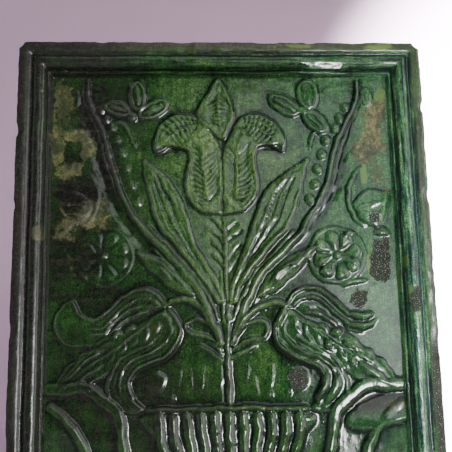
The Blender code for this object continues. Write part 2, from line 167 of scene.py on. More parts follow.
def clouds(size, seed):
    """A smooth random field from about -1 to 1 over the sheet, with lumps of about the given size."""
    rows = int(HEIGHT / size) + 3
    columns = int(WIDTH / size) + 3
    lumps = np.random.default_rng(seed).uniform(-1, 1, (rows, columns))
    down = DOWN / size + 0.5
    side = (ACROSS + WIDTH / 2) / size + 0.5

    def eased(places):
        whole = np.floor(places).astype(int)
        part = places - whole
        return whole, part * part * (3 - 2 * part)

    row, row_part = eased(down)
    column, column_part = eased(side)
    top = lumps[row][:, column] * (1 - column_part) + lumps[row][:, column + 1] * column_part
    low = lumps[row + 1][:, column] * (1 - column_part) + lumps[row + 1][:, column + 1] * column_part
    return (top * (1 - row_part[:, None]) + low * row_part[:, None]).astype(np.float32)


# How far in from its edge a patch's crown reaches, in millimetres
CROWN_REACH = 6.0


class Relief:
    """The relief in millimetres: its forms, its fine strokes, and the places kept smooth."""

    def __init__(self):
        self.rise = np.zeros((ROWS, COLUMNS), np.float32)
        self.fine = np.zeros((ROWS, COLUMNS), np.float32)
        self.calm = np.zeros((ROWS, COLUMNS), np.float32)

    def window(self, line, reach):
        """The part of the net within reach of a line: its slices and its spots."""
        low = line.min(axis=0) - reach
        high = line.max(axis=0) + reach
        c0 = max(0, int((low[0] + WIDTH / 2) / CELL))
        c1 = min(COLUMNS, int((high[0] + WIDTH / 2) / CELL) + 2)
        r0 = max(0, int(low[1] / CELL))
        r1 = min(ROWS, int(high[1] / CELL) + 2)
        return slice(r0, max(r0, r1)), slice(c0, max(c0, c1))

    def apart(self, line, reach):
        """Over a line's window: each cell's distance to it, its place along it, and its offset from it."""
        rows, columns = self.window(line, reach)
        nearest = np.full((rows.stop - rows.start, columns.stop - columns.start), 1e3, np.float32)
        share = np.zeros_like(nearest)
        aside = np.zeros((2, *nearest.shape), np.float32)
        last = len(line) - 1
        for k in range(last):
            r, c = self.window(line[k:k + 2], reach)
            if r.start >= r.stop or c.start >= c.stop:
                continue
            local = (
                slice(r.start - rows.start, r.stop - rows.start),
                slice(c.start - columns.start, c.stop - columns.start),
            )
            dx = ACROSS[c][None, :] - line[k, 0]
            dz = DOWN[r][:, None] - line[k, 1]
            run = line[k + 1] - line[k]
            part = np.clip((dx * run[0] + dz * run[1]) / max(run @ run, 1e-9), 0, 1)
            far = np.hypot(dx - part * run[0], dz - part * run[1])
            closer = far < nearest[local]
            nearest[local][closer] = far[closer]
            share[local][closer] = (k + part[closer]) / last
            aside[0][local][closer] = (dx - part * run[0])[closer]
            aside[1][local][closer] = (dz - part * run[1])[closer]
        return (rows, columns), nearest, share, aside

    def ridge(self, points, width, rise, ends=(1.0, 1.0), closed=False, crown=0.75,
              slant=0.0, fall=(0.8, 0.6)):
        """A rounded band along a line, narrowing to shares of its width at its ends.

        With a slant its crest falls off sideways, towards the given way (across, down).
        """
        line = trail(points, closed)
        place, apart, share, aside = self.apart(line, width / 2 + CELL)
        swell = np.clip(np.sin(np.pi * share), 0, 1) ** 0.6
        half = 0.5 * width * (swell + (1 - swell) * (ends[0] + (ends[1] - ends[0]) * share))
        level = rise * (0.55 + 0.45 * np.clip(2 * half / width, 0, 1))
        body = np.clip(1 - (apart / half) ** 2, 0, 1) ** crown
        falling = slant * (aside[0] * fall[0] + aside[1] * fall[1])
        shape = np.clip(level - falling, 0, None) * body
        if slant:
            self.calm[place] = np.maximum(self.calm[place], shape >= self.rise[place])
        self.rise[place] = np.maximum(self.rise[place], shape)

    def inside(self, line, place):
        """Which cells of a window lie inside a closed line."""
        rows, columns = place
        inside = np.zeros((rows.stop - rows.start, columns.stop - columns.start), bool)
        across = ACROSS[columns]
        down = DOWN[rows]
        for (x0, z0), (x1, z1) in zip(line[:-1], line[1:]):
            if z0 == z1:
                continue
            level = (down >= z0) != (down >= z1)
            crossing = x0 + (down - z0) * (x1 - x0) / (z1 - z0)
            inside ^= level[:, None] & (across[None, :] < crossing[:, None])
        return inside

    def patch(self, points, rise, edge=2.0, crown=0.0):
        """A raised area inside an outline, with a rounded edge and a crown towards its middle."""
        line = trail(points, closed=True)
        reach = max(edge, CROWN_REACH if crown else 0.0)
        place, apart, *_ = self.apart(line, reach)
        body = rise * np.clip(apart / edge, 0, 1) ** 0.6
        if crown:
            body = body + crown * np.sin(0.5 * np.pi * np.clip(apart / reach, 0, 1))
        shape = np.where(self.inside(line, place), body, 0)
        self.rise[place] = np.maximum(self.rise[place], shape)

    def boss(self, centre, across, down, rise, turn=0.0, crown=0.5):
        """A round or oval boss, turned by some degrees."""
        reach = max(across, down)
        place = self.window(np.array([centre], float), reach)
        dx = ACROSS[place[1]][None, :] - centre[0]
        dz = DOWN[place[0]][:, None] - centre[1]
        a = math.radians(turn)
        u = (dx * math.cos(a) + dz * math.sin(a)) / across
        v = (dz * math.cos(a) - dx * math.sin(a)) / down
        shape = rise * np.clip(1 - u * u - v * v, 0, 1) ** crown
        self.rise[place] = np.maximum(self.rise[place], shape)

    def score(self, points, width, depth, ends=(0.5, 0.5), closed=False):
        """A fine line laid over the forms, raised if depth is positive and cut in if it isn't."""
        line = trail(points, closed)
        place, apart, share, _ = self.apart(line, width)
        swell = np.clip(np.sin(np.pi * share), 0, 1) ** 0.5
        strength = swell + (1 - swell) * (ends[0] + (ends[1] - ends[0]) * share)
        self.fine[place] += depth * strength * np.exp(-((apart / (0.5 * width)) ** 2))

    def veins(self, first, second, shares, width, depth, span=(0.0, 1.0)):
        """Fine lines that run between two lines, at shares of the way from one to the other."""
        one = trail(first)
        two = trail(second)
        places = np.linspace(span[0], span[1], 12)
        for share in shares:
            spots = [(1 - share) * along(one, p) + share * along(two, p) for p in places]
            self.score(spots, width, depth, (0.4, 0.4))

    def barbs(self, first, second, count, width, depth, lean=0.0, span=(0.0, 1.0)):
        """A row of fine strokes from one line to another, leaning along them."""
        one = trail(first)
        two = trail(second)
        for k in range(count):
            share = span[0] + (span[1] - span[0]) * (k + 0.5) / count
            start = along(one, np.clip(share, 0, 1))
            end = along(two, np.clip(share + lean, 0, 1))
            bend = 0.5 * (start + end) + 0.06 * np.array([end[1] - start[1], start[0] - end[0]])
            self.score([start, bend, end], width, depth, (0.7, 0.2))


def middle_tulip(relief):
    """The large flower in the middle: a pointed centre petal between two hooked ones."""
    left = [
        (-0.9, 92), (-6, 91.8), (-12, 90), (-17, 84.4), (-18.6, 77), (-17.6, 69), (-16.2, 63),
        (-17.6, 59), (-21, 57.4), (-27, 56.8), (-33.6, 60.8), (-34.6, 57), (-33.6, 51.5), (-30.6, 45.8),
        (-25, 41.6), (-18, 41.2), (-12, 43.4), (-7.5, 48), (-3.6, 54), (-0.2, 64), (0.2, 80),
    ]
    right = [
        (-0.1, 92), (5, 91.8), (10, 89.6), (15, 83.8), (16.8, 77), (16.2, 70), (15.4, 63.5),
        (16.4, 58.8), (19.5, 56.4), (25, 56.2), (31.2, 60.6), (31.6, 56), (30, 50.5), (27, 45.8),
        (22, 42), (16, 40.6), (10, 42.8), (6.2, 47.2), (2.2, 53.5), (-0.8, 64), (-1.2, 80),
    ]
    ribs = {
        LEFT: [(-13.4, 49), (-10.6, 58), (-9.8, 70), (-8, 86)],
        RIGHT: [(10.6, 49), (7.4, 58), (6.8, 70), (5.4, 86)],
    }
    for side, petal in ((LEFT, left), (RIGHT, right)):
        relief.patch(petal, 1.7, 0.9)
        relief.ridge(petal[0:11], 1.5, 2.9, (0.7, 0.4))
        relief.ridge(petal[10:18], 1.5, 2.8, (0.4, 0.7))
        relief.veins(petal[1:8], ribs[side][::-1][:3], (0.26,), 1.0, 0.30)
        relief.veins(petal[12:17], [petal[9], petal[8], ribs[side][0]], (0.22, 0.5), 1.1, 0.40)
        relief.barbs(petal[12:17], [petal[9], petal[8], ribs[side][0]], 8, 1.2, -0.42, 0.12, (0.1, 1.0))
        relief.ridge(ribs[side], 1.3, 2.5, (0.5, 0.5))
    diamond = [
        (-2, 20.9), (1.8, 29), (5.4, 40.6), (2.6, 47), (-1, 52.6), (-6.6, 47.6), (-12, 40), (-6.4, 28.6),
    ]
    relief.patch(diamond, 1.8, 0.9)
    relief.ridge(diamond, 1.4, 2.9, closed=True)
    relief.score([(-2, 25), (-2.2, 36), (-1.2, 49)], 1.1, 0.40)
    relief.barbs([(-2.2, 27), (-2.2, 48)], [(-8, 35), (-7, 46)], 8, 1.1, -0.40, -0.15)
    relief.barbs([(-2.0, 27), (-1.8, 48)], [(4, 36), (2.6, 46)], 8, 1.1, -0.40, -0.15)
    relief.score([(-0.8, 52), (-0.5, 66), (-0.5, 91)], 1.1, -0.45)
    inner_left = [(-2.4, 56), (-2, 68), (-1.8, 82)]
    outer_left = [(-15.4, 56), (-15.8, 66), (-16.4, 76), (-12.6, 87)]
    inner_right = [(1.8, 56), (1.2, 68), (1.0, 82)]
    outer_right = [(14, 54), (13.8, 64), (14.8, 76), (10.6, 87)]
    relief.barbs(inner_left, ribs[LEFT][1:], 10, 1.2, -0.42, 0.18)
    relief.barbs(outer_left, ribs[LEFT][1:], 11, 1.2, -0.42, 0.14)
    relief.barbs(inner_right, ribs[RIGHT][1:], 10, 1.2, -0.42, 0.18)
    relief.barbs(outer_right, ribs[RIGHT][1:], 11, 1.2, -0.42, 0.16)
    relief.score([(-33.4, 59.0), (-30, 57.4), (-24, 57.4)], 2.0, -0.6)
    relief.score([(31, 59.0), (27, 57.2), (21, 57.2)], 2.0, -0.6)
    relief.boss((-20, 50.4), 1.3, 1.2, 2.4)


def sheath_leaves(relief):
    """The long leaves that wrap the middle stem, feathered inside, and the chevrons between them."""
    margins = {
        LEFT: (
            [(-40.2, 64.6), (-38.4, 75), (-36.4, 85), (-34.2, 94), (-30.2, 101), (-25, 107), (-20, 113),
             (-15, 120), (-10, 127.6), (-4, 138)],
            [(-38, 66), (-33, 71), (-28, 76), (-24, 82), (-21, 88), (-19.4, 95), (-17, 103), (-13.4, 112),
             (-9, 119.5), (-4.4, 127), (-1, 137)],
        ),
        RIGHT: (
            [(43.6, 64), (40.2, 72), (38.4, 79), (36.6, 87), (34, 94.6), (29.6, 101.6), (24, 107.4),
             (17.6, 113.8), (12.6, 120), (8, 128), (4.6, 138)],
            [(38.4, 68), (32, 72), (26, 77), (21, 82.6), (17.4, 90), (15, 97), (12.4, 105), (9.4, 113),
             (6.6, 121.5), (4, 129), (2.4, 138)],
        ),
    }
    for side, (outer, inner) in margins.items():
        relief.patch(outer + inner[::-1], 1.4, 0.8)
        relief.ridge(outer, 1.4, 2.4, (0.4, 0.8))
        relief.ridge(outer[4:9], 2.4, 2.5, (0.5, 0.5), crown=0.35)
        relief.ridge(inner, 1.3, 2.2, (0.4, 0.8))
        relief.veins(outer, inner, (0.26, 0.76), 1.0, 0.42, (0.06, 0.97))
        relief.veins(outer, inner, (0.5,), 1.0, 0.36, (0.03, 0.9))
        relief.veins(outer, inner, (0.38, 0.62), 1.0, -0.28, (0.5, 0.97))
        vein = between(outer[1:9], inner[1:9], 0.5)
        for share in (0.26, 0.74):
            relief.barbs(between(outer[1:9], inner[1:9], share), vein, 20, 1.1, -0.34, 0.08, (0.0, 0.8))
        relief.veins(outer, moved(outer, side * 2.6, 2.0), (1.0,), 1.0, 0.45, (0.45, 1.0))
    chevrons = (
        [(-6.6, 94.6), (-3.8, 97), (-0.6, 100.6)], [(-5.4, 101.6), (-3, 104), (-0.6, 108)],
        [(-5.4, 108), (-3, 110), (-0.6, 114)], [(-5, 114), (-3, 116.4), (-0.6, 120)],
        [(6.6, 96.2), (3.8, 98.4), (1, 100.8)], [(8.6, 99.6), (5.6, 102.4), (1.2, 106)],
        [(7.4, 107), (4.8, 110.4), (1.4, 115.6)], [(6.6, 114.4), (4.4, 117.6), (1.4, 122)],
    )
    for mark in chevrons:
        relief.score(mark, 1.3, 0.30)
        relief.score(moved(mark, 0, 1.5), 1.3, -0.35)
    relief.ridge([(0.2, 95), (0.4, 118), (0.8, 142), (1, 166)], 1.4, 1.8, (0.5, 1.0))
    relief.ridge([(-1.8, 122), (-1.2, 140), (0, 160)], 1.0, 1.5, (0.3, 0.6))
    relief.ridge([(3, 124), (2.4, 140), (1.6, 160)], 1.0, 1.6, (0.3, 0.6))


def long_stems(relief):
    """The two stems that sweep up to the top corners, and their twin lines lower down."""
    left = [
        (-2, 158), (-6.6, 147.5), (-11, 137), (-17, 126.4), (-25, 116.4), (-34, 107.4), (-41.4, 99),
        (-47.6, 90), (-51.6, 81.6), (-54.4, 73), (-57.2, 65), (-60.4, 52.4), (-65.6, 38.6), (-69, 29.4),
        (-69.4, 21),
    ]
    right = [
        (3, 158), (6.4, 148), (10.4, 137.4), (15.4, 127.4), (22.4, 119), (30.4, 111.6), (38.4, 102),
        (43.6, 93.4), (48.6, 85), (52.4, 76.4), (55, 68), (57.6, 58), (62.4, 46.4), (67, 38), (69.6, 30),
        (70.6, 21),
    ]
    for side, stem in ((LEFT, left), (RIGHT, right)):
        relief.ridge(stem[:8], 3.8, 2.5, (0.45, 0.35), crown=0.26)
        relief.ridge(stem[5:], 1.7, 2.2, (0.8, 0.6))
        relief.ridge(moved(stem[7:], side * 2.4, 0.8), 1.2, 1.1, (0.4, 0.4))
        relief.ridge(moved(stem[1:7], -side * 3.2, -0.8), 1.4, 2.1, (0.5, 0.3))
        relief.ridge(moved(stem[2:6], side * 3.2, 1.6), 1.3, 1.4, (0.4, 0.3))
        relief.score(moved(stem[5:13], side * 5.0, 2.2), 5.0, -0.55, (0.3, 0.3))


def low_leaves(relief):
    """The leaves under the long stems, the stems of the side flowers, and the looped leaves."""
    left_blade = [
        (-15, 134.6), (-20.6, 125.4), (-28, 118), (-35.4, 114.4), (-44, 112.4), (-37, 121.4), (-31, 127),
        (-24, 132.4),
    ]
    right_blade = [
        (16.4, 134.4), (22.4, 125.4), (28.6, 119.2), (36, 113.8), (46, 109.6), (38, 121), (31, 127.4),
        (24, 132.4),
    ]
    left_loop = [
        (-3, 154.6), (-7.6, 148.6), (-13, 145.9), (-18, 146.8), (-20, 150), (-17.2, 152.9), (-11.4, 153.6),
        (-6, 156.2), (-2, 160),
    ]
    right_loop = [
        (4, 156), (8.8, 149.6), (14, 147), (19, 147.6), (20.6, 151), (18, 154.8), (11.6, 155.6),
        (6.4, 158.2), (3, 161),
    ]
    left_branch = [
        (-2.6, 158), (-7, 148), (-10.6, 142), (-15, 137.8), (-20, 136.4), (-26, 137), (-30.5, 139.6),
    ]
    right_branch = [
        (3.2, 158), (6.2, 150), (9.6, 145.4), (14.6, 141.4), (20.4, 138.6), (26, 138), (31, 140),
    ]
    for blade in (left_blade, right_blade):
        relief.patch(blade, 1.5, 1.1, 0.5)
        relief.ridge(blade[:5], 1.2, 2.1, (0.5, 0.4))
        relief.veins(blade[:5], [blade[0], blade[7], blade[6], blade[5], blade[4]], (0.3, 0.6), 1.0, 0.30)
    for loop in (left_loop, right_loop):
        relief.ridge(loop, 1.5, 1.6, (0.5, 0.5))
    for branch in (left_branch, right_branch):
        relief.ridge(branch, 2.8, 2.2, (0.6, 0.6), crown=0.28)
    relief.ridge([(-14, 158.8), (-8.6, 161), (-2, 166)], 1.9, 1.3, (0.4, 0.7))
    relief.ridge([(-9, 156.4), (-5, 159), (-1.4, 163)], 1.3, 1.2, (0.4, 0.7))
    relief.ridge([(14.4, 158.2), (9, 161.4), (3, 165)], 2.0, 1.4, (0.4, 0.7))
    relief.ridge([(1, 164), (1.2, 178), (1.2, 190)], 1.8, 1.8)
    relief.score([(-1.2, 168), (-1, 189)], 1.2, -0.3)
    relief.score([(3.2, 168), (3.2, 189)], 1.2, -0.3)


def side_tulip(relief, side, shift, tweak, curled):
    """A flower that opens to one side: three petals, the upper one curled by a share.

    Uncurled, its tip is worn away, and only its two rims are left.
    """
    def put(points):
        return [(side * across + shift, down + tweak) for across, down in points]

    upper = put([
        (29.4, 138.6), (33.4, 133.4), (38, 130.9), (44.4, 131), (51, 134.6), (56.4, 140.2), (61.4, 144.4),
        (66, 145.4), (70.4, 143.8), (73, 140), (74.6, 136),
    ])
    second = put([
        (31.6, 140), (35.6, 136.6), (40, 135.2), (45.4, 136.4), (50.6, 140.4), (55.4, 145), (59.6, 148.4),
        (64, 149.8), (70.4, 148.6), (74, 146),
    ])
    curl = put([
        (74.6, 136), (79, 138), (82.6, 143.6), (82.8, 150), (80, 155.6), (75, 157.6), (69.6, 157.6),
    ])
    under = put([
        (69.6, 157.6), (63.6, 156.6), (58.6, 153.4), (54, 149.2), (50, 146), (46, 143.6), (38, 142),
    ])
    upper_rim, under_rim = upper, under
    if curled:
        relief.patch(upper[:-1] + curl + under[1:], 0.4 + 0.9 * curled, 1.0)
        relief.ridge(curl, 1.5, 2.4 * curled, (0.5, 0.7))
        relief.ridge(put([(77.4, 142.6), (79.4, 147), (78.6, 152)]), 1.5, 2.2 * curled, (0.5, 0.5))
    else:
        upper_rim, under_rim = upper[:-2], under[3:]
        relief.patch(upper_rim + put([(69, 147.5), (65, 151)]) + under_rim, 0.3, 4.0)
    relief.ridge(upper_rim, 1.5, 2.4, (0.6, 0.3))
    relief.ridge(second, 1.4, 2.1, (0.4, 0.3))
    relief.ridge(under_rim, 1.4, 2.0, (0.3, 0.5))
    relief.veins(second[1:9], under[::-1][:6], (0.5,), 1.1, 0.40)
    relief.veins(upper[1:8], second[1:8], (0.5,), 0.9, 0.22)
    relief.barbs(second[1:6], under[::-1][1:5], 11, 1.1, -0.30, 0.12)

    middle = put([
        (30, 142), (38, 145.4), (45, 149), (52, 152.6), (57, 153.6), (62.4, 157), (64.6, 160), (69, 161.6),
        (71.6, 165), (75.4, 166.4), (79.4, 172), (84, 180.2), (76, 178.8), (68, 176.4), (62, 173.6),
        (55, 169), (49, 165), (40, 160), (32, 152),
    ])
    midrib = put([(30, 141), (38, 147.4), (45, 152.6), (53, 158.6), (61, 164), (70, 170.4), (80, 178)])
    relief.patch(middle, 1.3, 1.0)
    relief.ridge(midrib, 1.5, 2.2, (0.5, 0.3))
    relief.ridge(middle[3:12], 1.2, 1.9, (0.5, 0.5))
    relief.ridge(middle[11:16], 1.3, 1.9, (0.5, 0.5))
    relief.veins(midrib[4:], put([(62, 158), (70, 163.6), (80, 174)]), (0.5, 0.85), 1.1, 0.42)
    relief.veins(midrib[4:], put([(58, 170), (68, 175.4), (81, 179.4)]), (0.5,), 1.1, 0.42)
    lobes = (
        ((50.4, 152.6), (55, 154.4)), ((54.6, 156.4), (60.4, 158.4)), ((58.6, 160), (64.4, 162.6)),
        ((62.6, 163.4), (69, 166.8)), ((44, 149.8), (48.6, 151.6)),
    )
    hollows = (
        ((34, 145.4), (36, 152.6)), ((39, 148.4), (41, 156.6)), ((44, 152.4), (46.4, 158.6)),
        ((49.6, 156.4), (52, 161.6)), ((55, 160.6), (57, 166)),
    )
    for start, end in lobes:
        bend = (0.5 * (start[0] + end[0]) + 0.5, 0.5 * (start[1] + end[1]) - 1.2)
        relief.ridge(put([start, bend, end]), 2.6, 2.1, (0.5, 0.7), crown=0.6)
    for start, end in hollows:
        bend = (0.5 * (start[0] + end[0]) - 1.2, 0.5 * (start[1] + end[1]) + 0.6)
        relief.ridge(put([start, bend, end]), 2.0, 2.0, (0.4, 0.7), crown=0.7)

    lower = put([
        (28.4, 140.4), (24.6, 145.6), (22.9, 151.8), (24.6, 158), (30, 162.8), (37, 165.8), (43, 168.8),
        (46.6, 173), (47.4, 178), (44.6, 183.4),
    ])
    rib = put([
        (29, 145.6), (27.4, 151.8), (30.6, 157.8), (37, 161.4), (44, 164.2), (49.6, 168.4), (51.6, 174),
        (51, 180), (48, 185),
    ])
    outer = put([
        (33, 146), (32, 152), (37.4, 157), (46, 161.4), (52.4, 166), (56.4, 173.4), (57, 181.4),
        (53, 187.6), (46, 190), (39, 188.4),
    ])
    relief.patch(lower + outer[::-1], 1.2, 1.0)
    relief.ridge(lower, 1.7, 2.6, (0.6, 0.4))
    relief.ridge(rib, 1.6, 2.4, (0.4, 0.4))
    relief.ridge(outer, 1.4, 2.1, (0.5, 0.4))
    relief.veins(lower[2:], rib[1:], (0.5,), 0.9, 0.22)
    relief.veins(rib[2:8], outer[2:8], (0.5,), 0.9, 0.28)
    relief.boss((side * 34.2 + shift * 0.3, 175.6), 5.2, 5.4, 0.8, crown=0.3)


def rosette(relief, centre, phase, height):
    """A flat round flower: a thin ring, eight full petals and a button."""
    relief.ridge(oval(centre, 14.0, 14.0), 1.2, 1.1 * height, closed=True)
    relief.boss(centre, 14.0, 14.0, 0.5, crown=0.2)
    relief.boss(centre, 1.9, 1.9, 1.6)
    for k in range(8):
        turn = phase + 2 * math.pi * k / 8
        out = np.array([math.cos(turn), math.sin(turn)])
        side = np.array([-out[1], out[0]])
        reach = ((2.4, 0.0), (5.6, 1.6), (8.8, 3.2), (11.2, 2.9), (12.5, 0.0))
        petal = [np.array(centre) + far * out + wide * side for far, wide in reach]
        petal += [np.array(centre) + far * out - wide * side for far, wide in reach[::-1][1:-1]]
        relief.patch(petal, 1.9 * height, 1.2)
        relief.score([np.array(centre) + 4 * out, np.array(centre) + 11 * out], 1.5, -0.22 * height)


def berries(relief):
    """The buds and berries along the long stems."""
    right = [(58, 47.4), (53.2, 54), (50.5, 61.5), (48, 69.2), (46.4, 77.8), (43.4, 85.6)]
    left = [(-57, 47), (-54.6, 54), (-51.4, 61), (-48.8, 69), (-46.6, 78), (-43.4, 86.4)]
    for spot in left + right:
        relief.boss(spot, 2.1, 2.4, 1.7 if spot[0] > 0 else 0.9, crown=0.6)
    for spot in ((63.8, 36.4), (60.8, 42.4), (-62, 38), (-59.6, 42.6)):
        relief.boss(spot, 1.9, 2.2, 1.6, crown=0.6)


def trefoils(relief):
    """The three-lobed leaves at the top, which lean differently left and right."""
    lobes = (
        ((-43.5, 30), 4.4, 8.2, 0, 1.6), ((-35.4, 37.4), 9.0, 4.4, -25, 1.5),
        ((-54, 37.2), 7.4, 3.8, 18, 1.4), ((44.8, 29), 5.4, 8.2, 0, 1.6),
        ((32.4, 35), 9.0, 4.4, 33, 1.5), ((48, 43.6), 8.4, 4.4, 40, 1.5),
    )
    for centre, across, down, turn, rise in lobes:
        relief.boss(centre, across, down, rise, turn, crown=0.2)
        for inset, width, depth in ((0.8, 1.1, 0.45), (2.2, 0.9, -0.30)):
            rim = oval(centre, across - inset, down - inset, turn, 20)
            relief.score(rim, width, depth, closed=True)
        long_way = max(across, down) * 0.6
        lean = math.radians(turn) if across > down else math.radians(turn) + math.pi / 2
        tip = np.array([math.cos(lean), math.sin(lean)]) * long_way
        relief.score([np.array(centre) - tip, np.array(centre) + tip], 1.2, 0.35)
    relief.boss((-46, 41.6), 2.4, 2.4, 1.8)
    relief.boss((41.2, 38), 2.2, 2.2, 1.8)
    relief.ridge([(-55, 44), (-50, 46), (-46.4, 51.6), (-45, 57.4)], 1.5, 1.3, (0.4, 0.3))
    relief.ridge([(52.4, 47), (47.6, 50), (45.4, 54), (44.6, 58.6)], 1.5, 1.3, (0.4, 0.3))


def edge_leaves(relief):
    """The leaves against the frame and the scrolls of the lower corners."""
    arc = [(70.4, 68.6), (67, 72), (64.4, 77), (63, 83.4), (64, 90), (67, 96), (71.4, 99.4)]
    leaf = [(66, 88), (69.6, 84), (75, 81.8), (84, 82.6), (83.2, 90), (80, 98), (73.6, 99), (68.4, 95)]
    scroll = [(85.4, 178.6), (77, 179), (71, 177.8), (65.5, 179.6), (59, 184.6), (53.4, 189.6), (51, 197)]
    low_scroll = [(51, 197), (49, 210), (43, 223), (34, 234.5), (22, 243)]
    vein = [(84.4, 187), (77, 193), (70, 203), (65.5, 216), (66, 228), (73, 236), (80, 231), (78.5, 223.5)]
    corner = [(64, 217), (58.5, 226), (50, 235), (40, 243), (54, 245.5), (66, 243), (71, 237)]
    inside = [(62, 195), (75, 191), (92, 187)]
    for side, arc_rise, worn, lean in ((LEFT, 0.7, 0.45, 0.0), (RIGHT, 1.6, 1.0, 1.0)):
        def put(points):
            return [(side * across, down) for across, down in points]

        relief.ridge(put(arc), 1.6, arc_rise, (0.4, 0.4))
        relief.patch(put(leaf), 1.2 * worn, 1.2, 0.3 * worn)
        relief.ridge(put(leaf[:4]), 1.4, 2.0 * worn, (0.5, 0.5))
        relief.ridge(put([(66.6, 90), (71, 95), (77, 99), (83, 103)]), 1.4, 1.7 * worn, (0.5, 0.5))
        relief.veins(put(leaf[:4]), put([leaf[7], leaf[6], leaf[5]]), (0.35, 0.65), 1.1, 0.35)
        relief.boss((side * 75, 31), 2.8, 5.0, 1.2)
        relief.score(put([(75, 27), (75, 35)]), 1.2, -0.35)
        if side == RIGHT:
            relief.ridge(inside, 15.0, 1.9, (0.7, 1.0), crown=0.05, slant=0.17, fall=(-0.35, -0.94))
        relief.ridge(put(scroll), 5.6, 2.6, (0.8, 0.9), crown=0.018, slant=0.044 * lean)
        relief.ridge(put(scroll[:4]), 5.8, 2.7, (0.9, 0.5), crown=0.018, slant=0.052 * lean,
                     fall=(0.1, 1.0))
        relief.ridge(put(low_scroll), 5.2, 3.2, (0.9, 0.4), crown=0.3)
        relief.ridge(put(vein), 4.6, 2.8, (0.7, 0.3), crown=0.02, slant=0.034 * lean)
        relief.patch(put(corner), 2.0, 2.0, 0.6)
        relief.score(put([(66, 224), (58, 235), (46, 242)]), 1.5, -0.6)


def vase(relief):
    """The fluted vase at the bottom, with its rim, neck and foot."""
    half = [(37, 190.5), (35.6, 203), (29, 217), (17, 228.5), (8, 235), (12, 241), (22, 246.4), (24, 249)]
    body = [(-across, down) for across, down in half] + half[::-1]
    relief.patch(body, 2.3, 1.6)
    relief.ridge([(-38, 189.0), (0, 188.6), (38, 189.2)], 2.8, 3.9, (0.8, 0.8), crown=0.4)
    relief.ridge([(-9.5, 234.5), (0, 235.5), (9.5, 234.5)], 3.4, 4.0, (0.6, 0.6))
    relief.ridge([(-23, 246.6), (0, 247), (23, 246.6)], 3.4, 3.9, (0.7, 0.7))
    pitch = 6.5
    flute = ((1.04, 192), (1.0, 204), (0.8, 217), (0.45, 227.5))
    for k in range(-5, 6):
        rod = [(k * pitch * share + 1.0, down) for share, down in flute]
        relief.ridge(rod, 5.4, 4.3, (0.9, 0.35), crown=0.5)


# Broad crests worn or pressed at a slant: spots, width, rise, slant, the way they fall
SLANTED = (
    ([(25.4, 106.6), (19.6, 112.6), (13.4, 120), (7, 129.4)], 2.6, 2.9, 0.32, (0.8, 0.6)),
    ([(28, 112.6), (21.8, 119.6), (15, 128.6), (10.4, 137.4), (7, 144)], 2.3, 2.8, 0.31, (0.8, 0.6)),
    ([(32.8, 120.4), (28.4, 124.2), (23.6, 128)], 5.4, 2.9, 0.24, (0.8, 0.6)),
    ([(14.6, 141.4), (9.6, 145.6), (6, 151.6)], 2.4, 2.8, 0.21, (0.8, 0.6)),
    ([(28.6, 141), (26.4, 145), (25.2, 149.4)], 2.6, 3.0, 0.25, (0.8, 0.6)),
    ([(62.4, 144.2), (66.8, 145.4), (71.6, 144.0)], 3.2, 2.9, 0.145, (0.3, 0.95)),
    ([(62.6, 149.2), (66, 150.2), (72.4, 149.4)], 2.8, 2.7, 0.13, (0.3, 0.95)),
    ([(48.6, 174.4), (47.4, 179), (43.4, 185)], 3.0, 3.0, 0.09, (0.8, 0.6)),
    ([(53.4, 174.4), (52.4, 180), (48.6, 186)], 3.4, 2.8, 0.09, (0.8, 0.6)),
    ([(65.4, 168.4), (70.4, 171.8), (76.6, 175.6)], 2.6, 2.9, 0.05, (0.0, 1.0)),
    ([(52, 153.4), (56.4, 152.4)], 3.4, 2.9, 0.12, (0.4, 0.9)),
    ([(49.4, 157.4), (50.4, 160.4)], 2.8, 2.9, 0.24, (0.7, 0.7)),
    ([(58, 158.4), (62.6, 157.8)], 3.0, 2.9, 0.107, (0.3, 0.95)),
    ([(60.4, 165.4), (62, 168.6)], 2.6, 2.9, 0.24, (0.7, 0.7)),
    ([(59, 129.4), (64, 128.2), (70, 127.6)], 2.0, 1.4, 0.19, (0.3, 0.95)),
    ([(76, 102.2), (82.4, 103.6)], 2.0, 1.5, 0.24, (0.1, 1.0)),
    ([(72.6, 89.6), (80, 88.4)], 2.0, 1.8, 0.27, (0.1, 1.0)),
    ([(46.8, 118.6), (49, 117)], 2.6, 2.8, 0.21, (0.35, 0.93)),
    ([(48.6, 123), (50.6, 121.6)], 2.2, 2.8, 0.20, (0.35, 0.93)),
    ([(64.4, 114.6), (66.6, 115.2)], 2.0, 2.8, 0.21, (0.2, 0.98)),
    ([(61, 103.6), (63.6, 102.4)], 2.0, 2.8, 0.24, (0.2, 0.98)),
    ([(62, 117.6), (66, 119)], 1.4, 2.6, 0.20, (0.2, 0.98)),
)


def slanted_crests(relief):
    """The places where a form's crest is broad and lies at a slant."""
    for points, width, rise, slant, fall in SLANTED:
        relief.ridge(points, width, rise, (0.55, 0.45), crown=0.02, slant=slant, fall=fall)


def plain_strokes(relief):
    """Two rows of short strokes and dots beside the stem, low down."""
    for across, lean in ((-23, 0.8), (-17.5, -0.6), (-12, 0.7)):
        relief.ridge([(across + lean, 167.4), (across, 174), (across - lean, 181)], 2.0, 0.30, (0.5, 0.5))
    for across, top, lean in ((9.4, 167, 0.7), (13.8, 172, -0.6), (21.4, 167.6, 0.5)):
        stroke = [(across + lean, top), (across, top + 6), (across - lean, top + 11)]
        relief.ridge(stroke, 2.4, 0.22, (0.5, 0.5))
    for spot in ((20.4, 181.8), (29.6, 181.6), (-26.6, 183.4)):
        relief.boss(spot, 1.3, 1.3, 1.3)


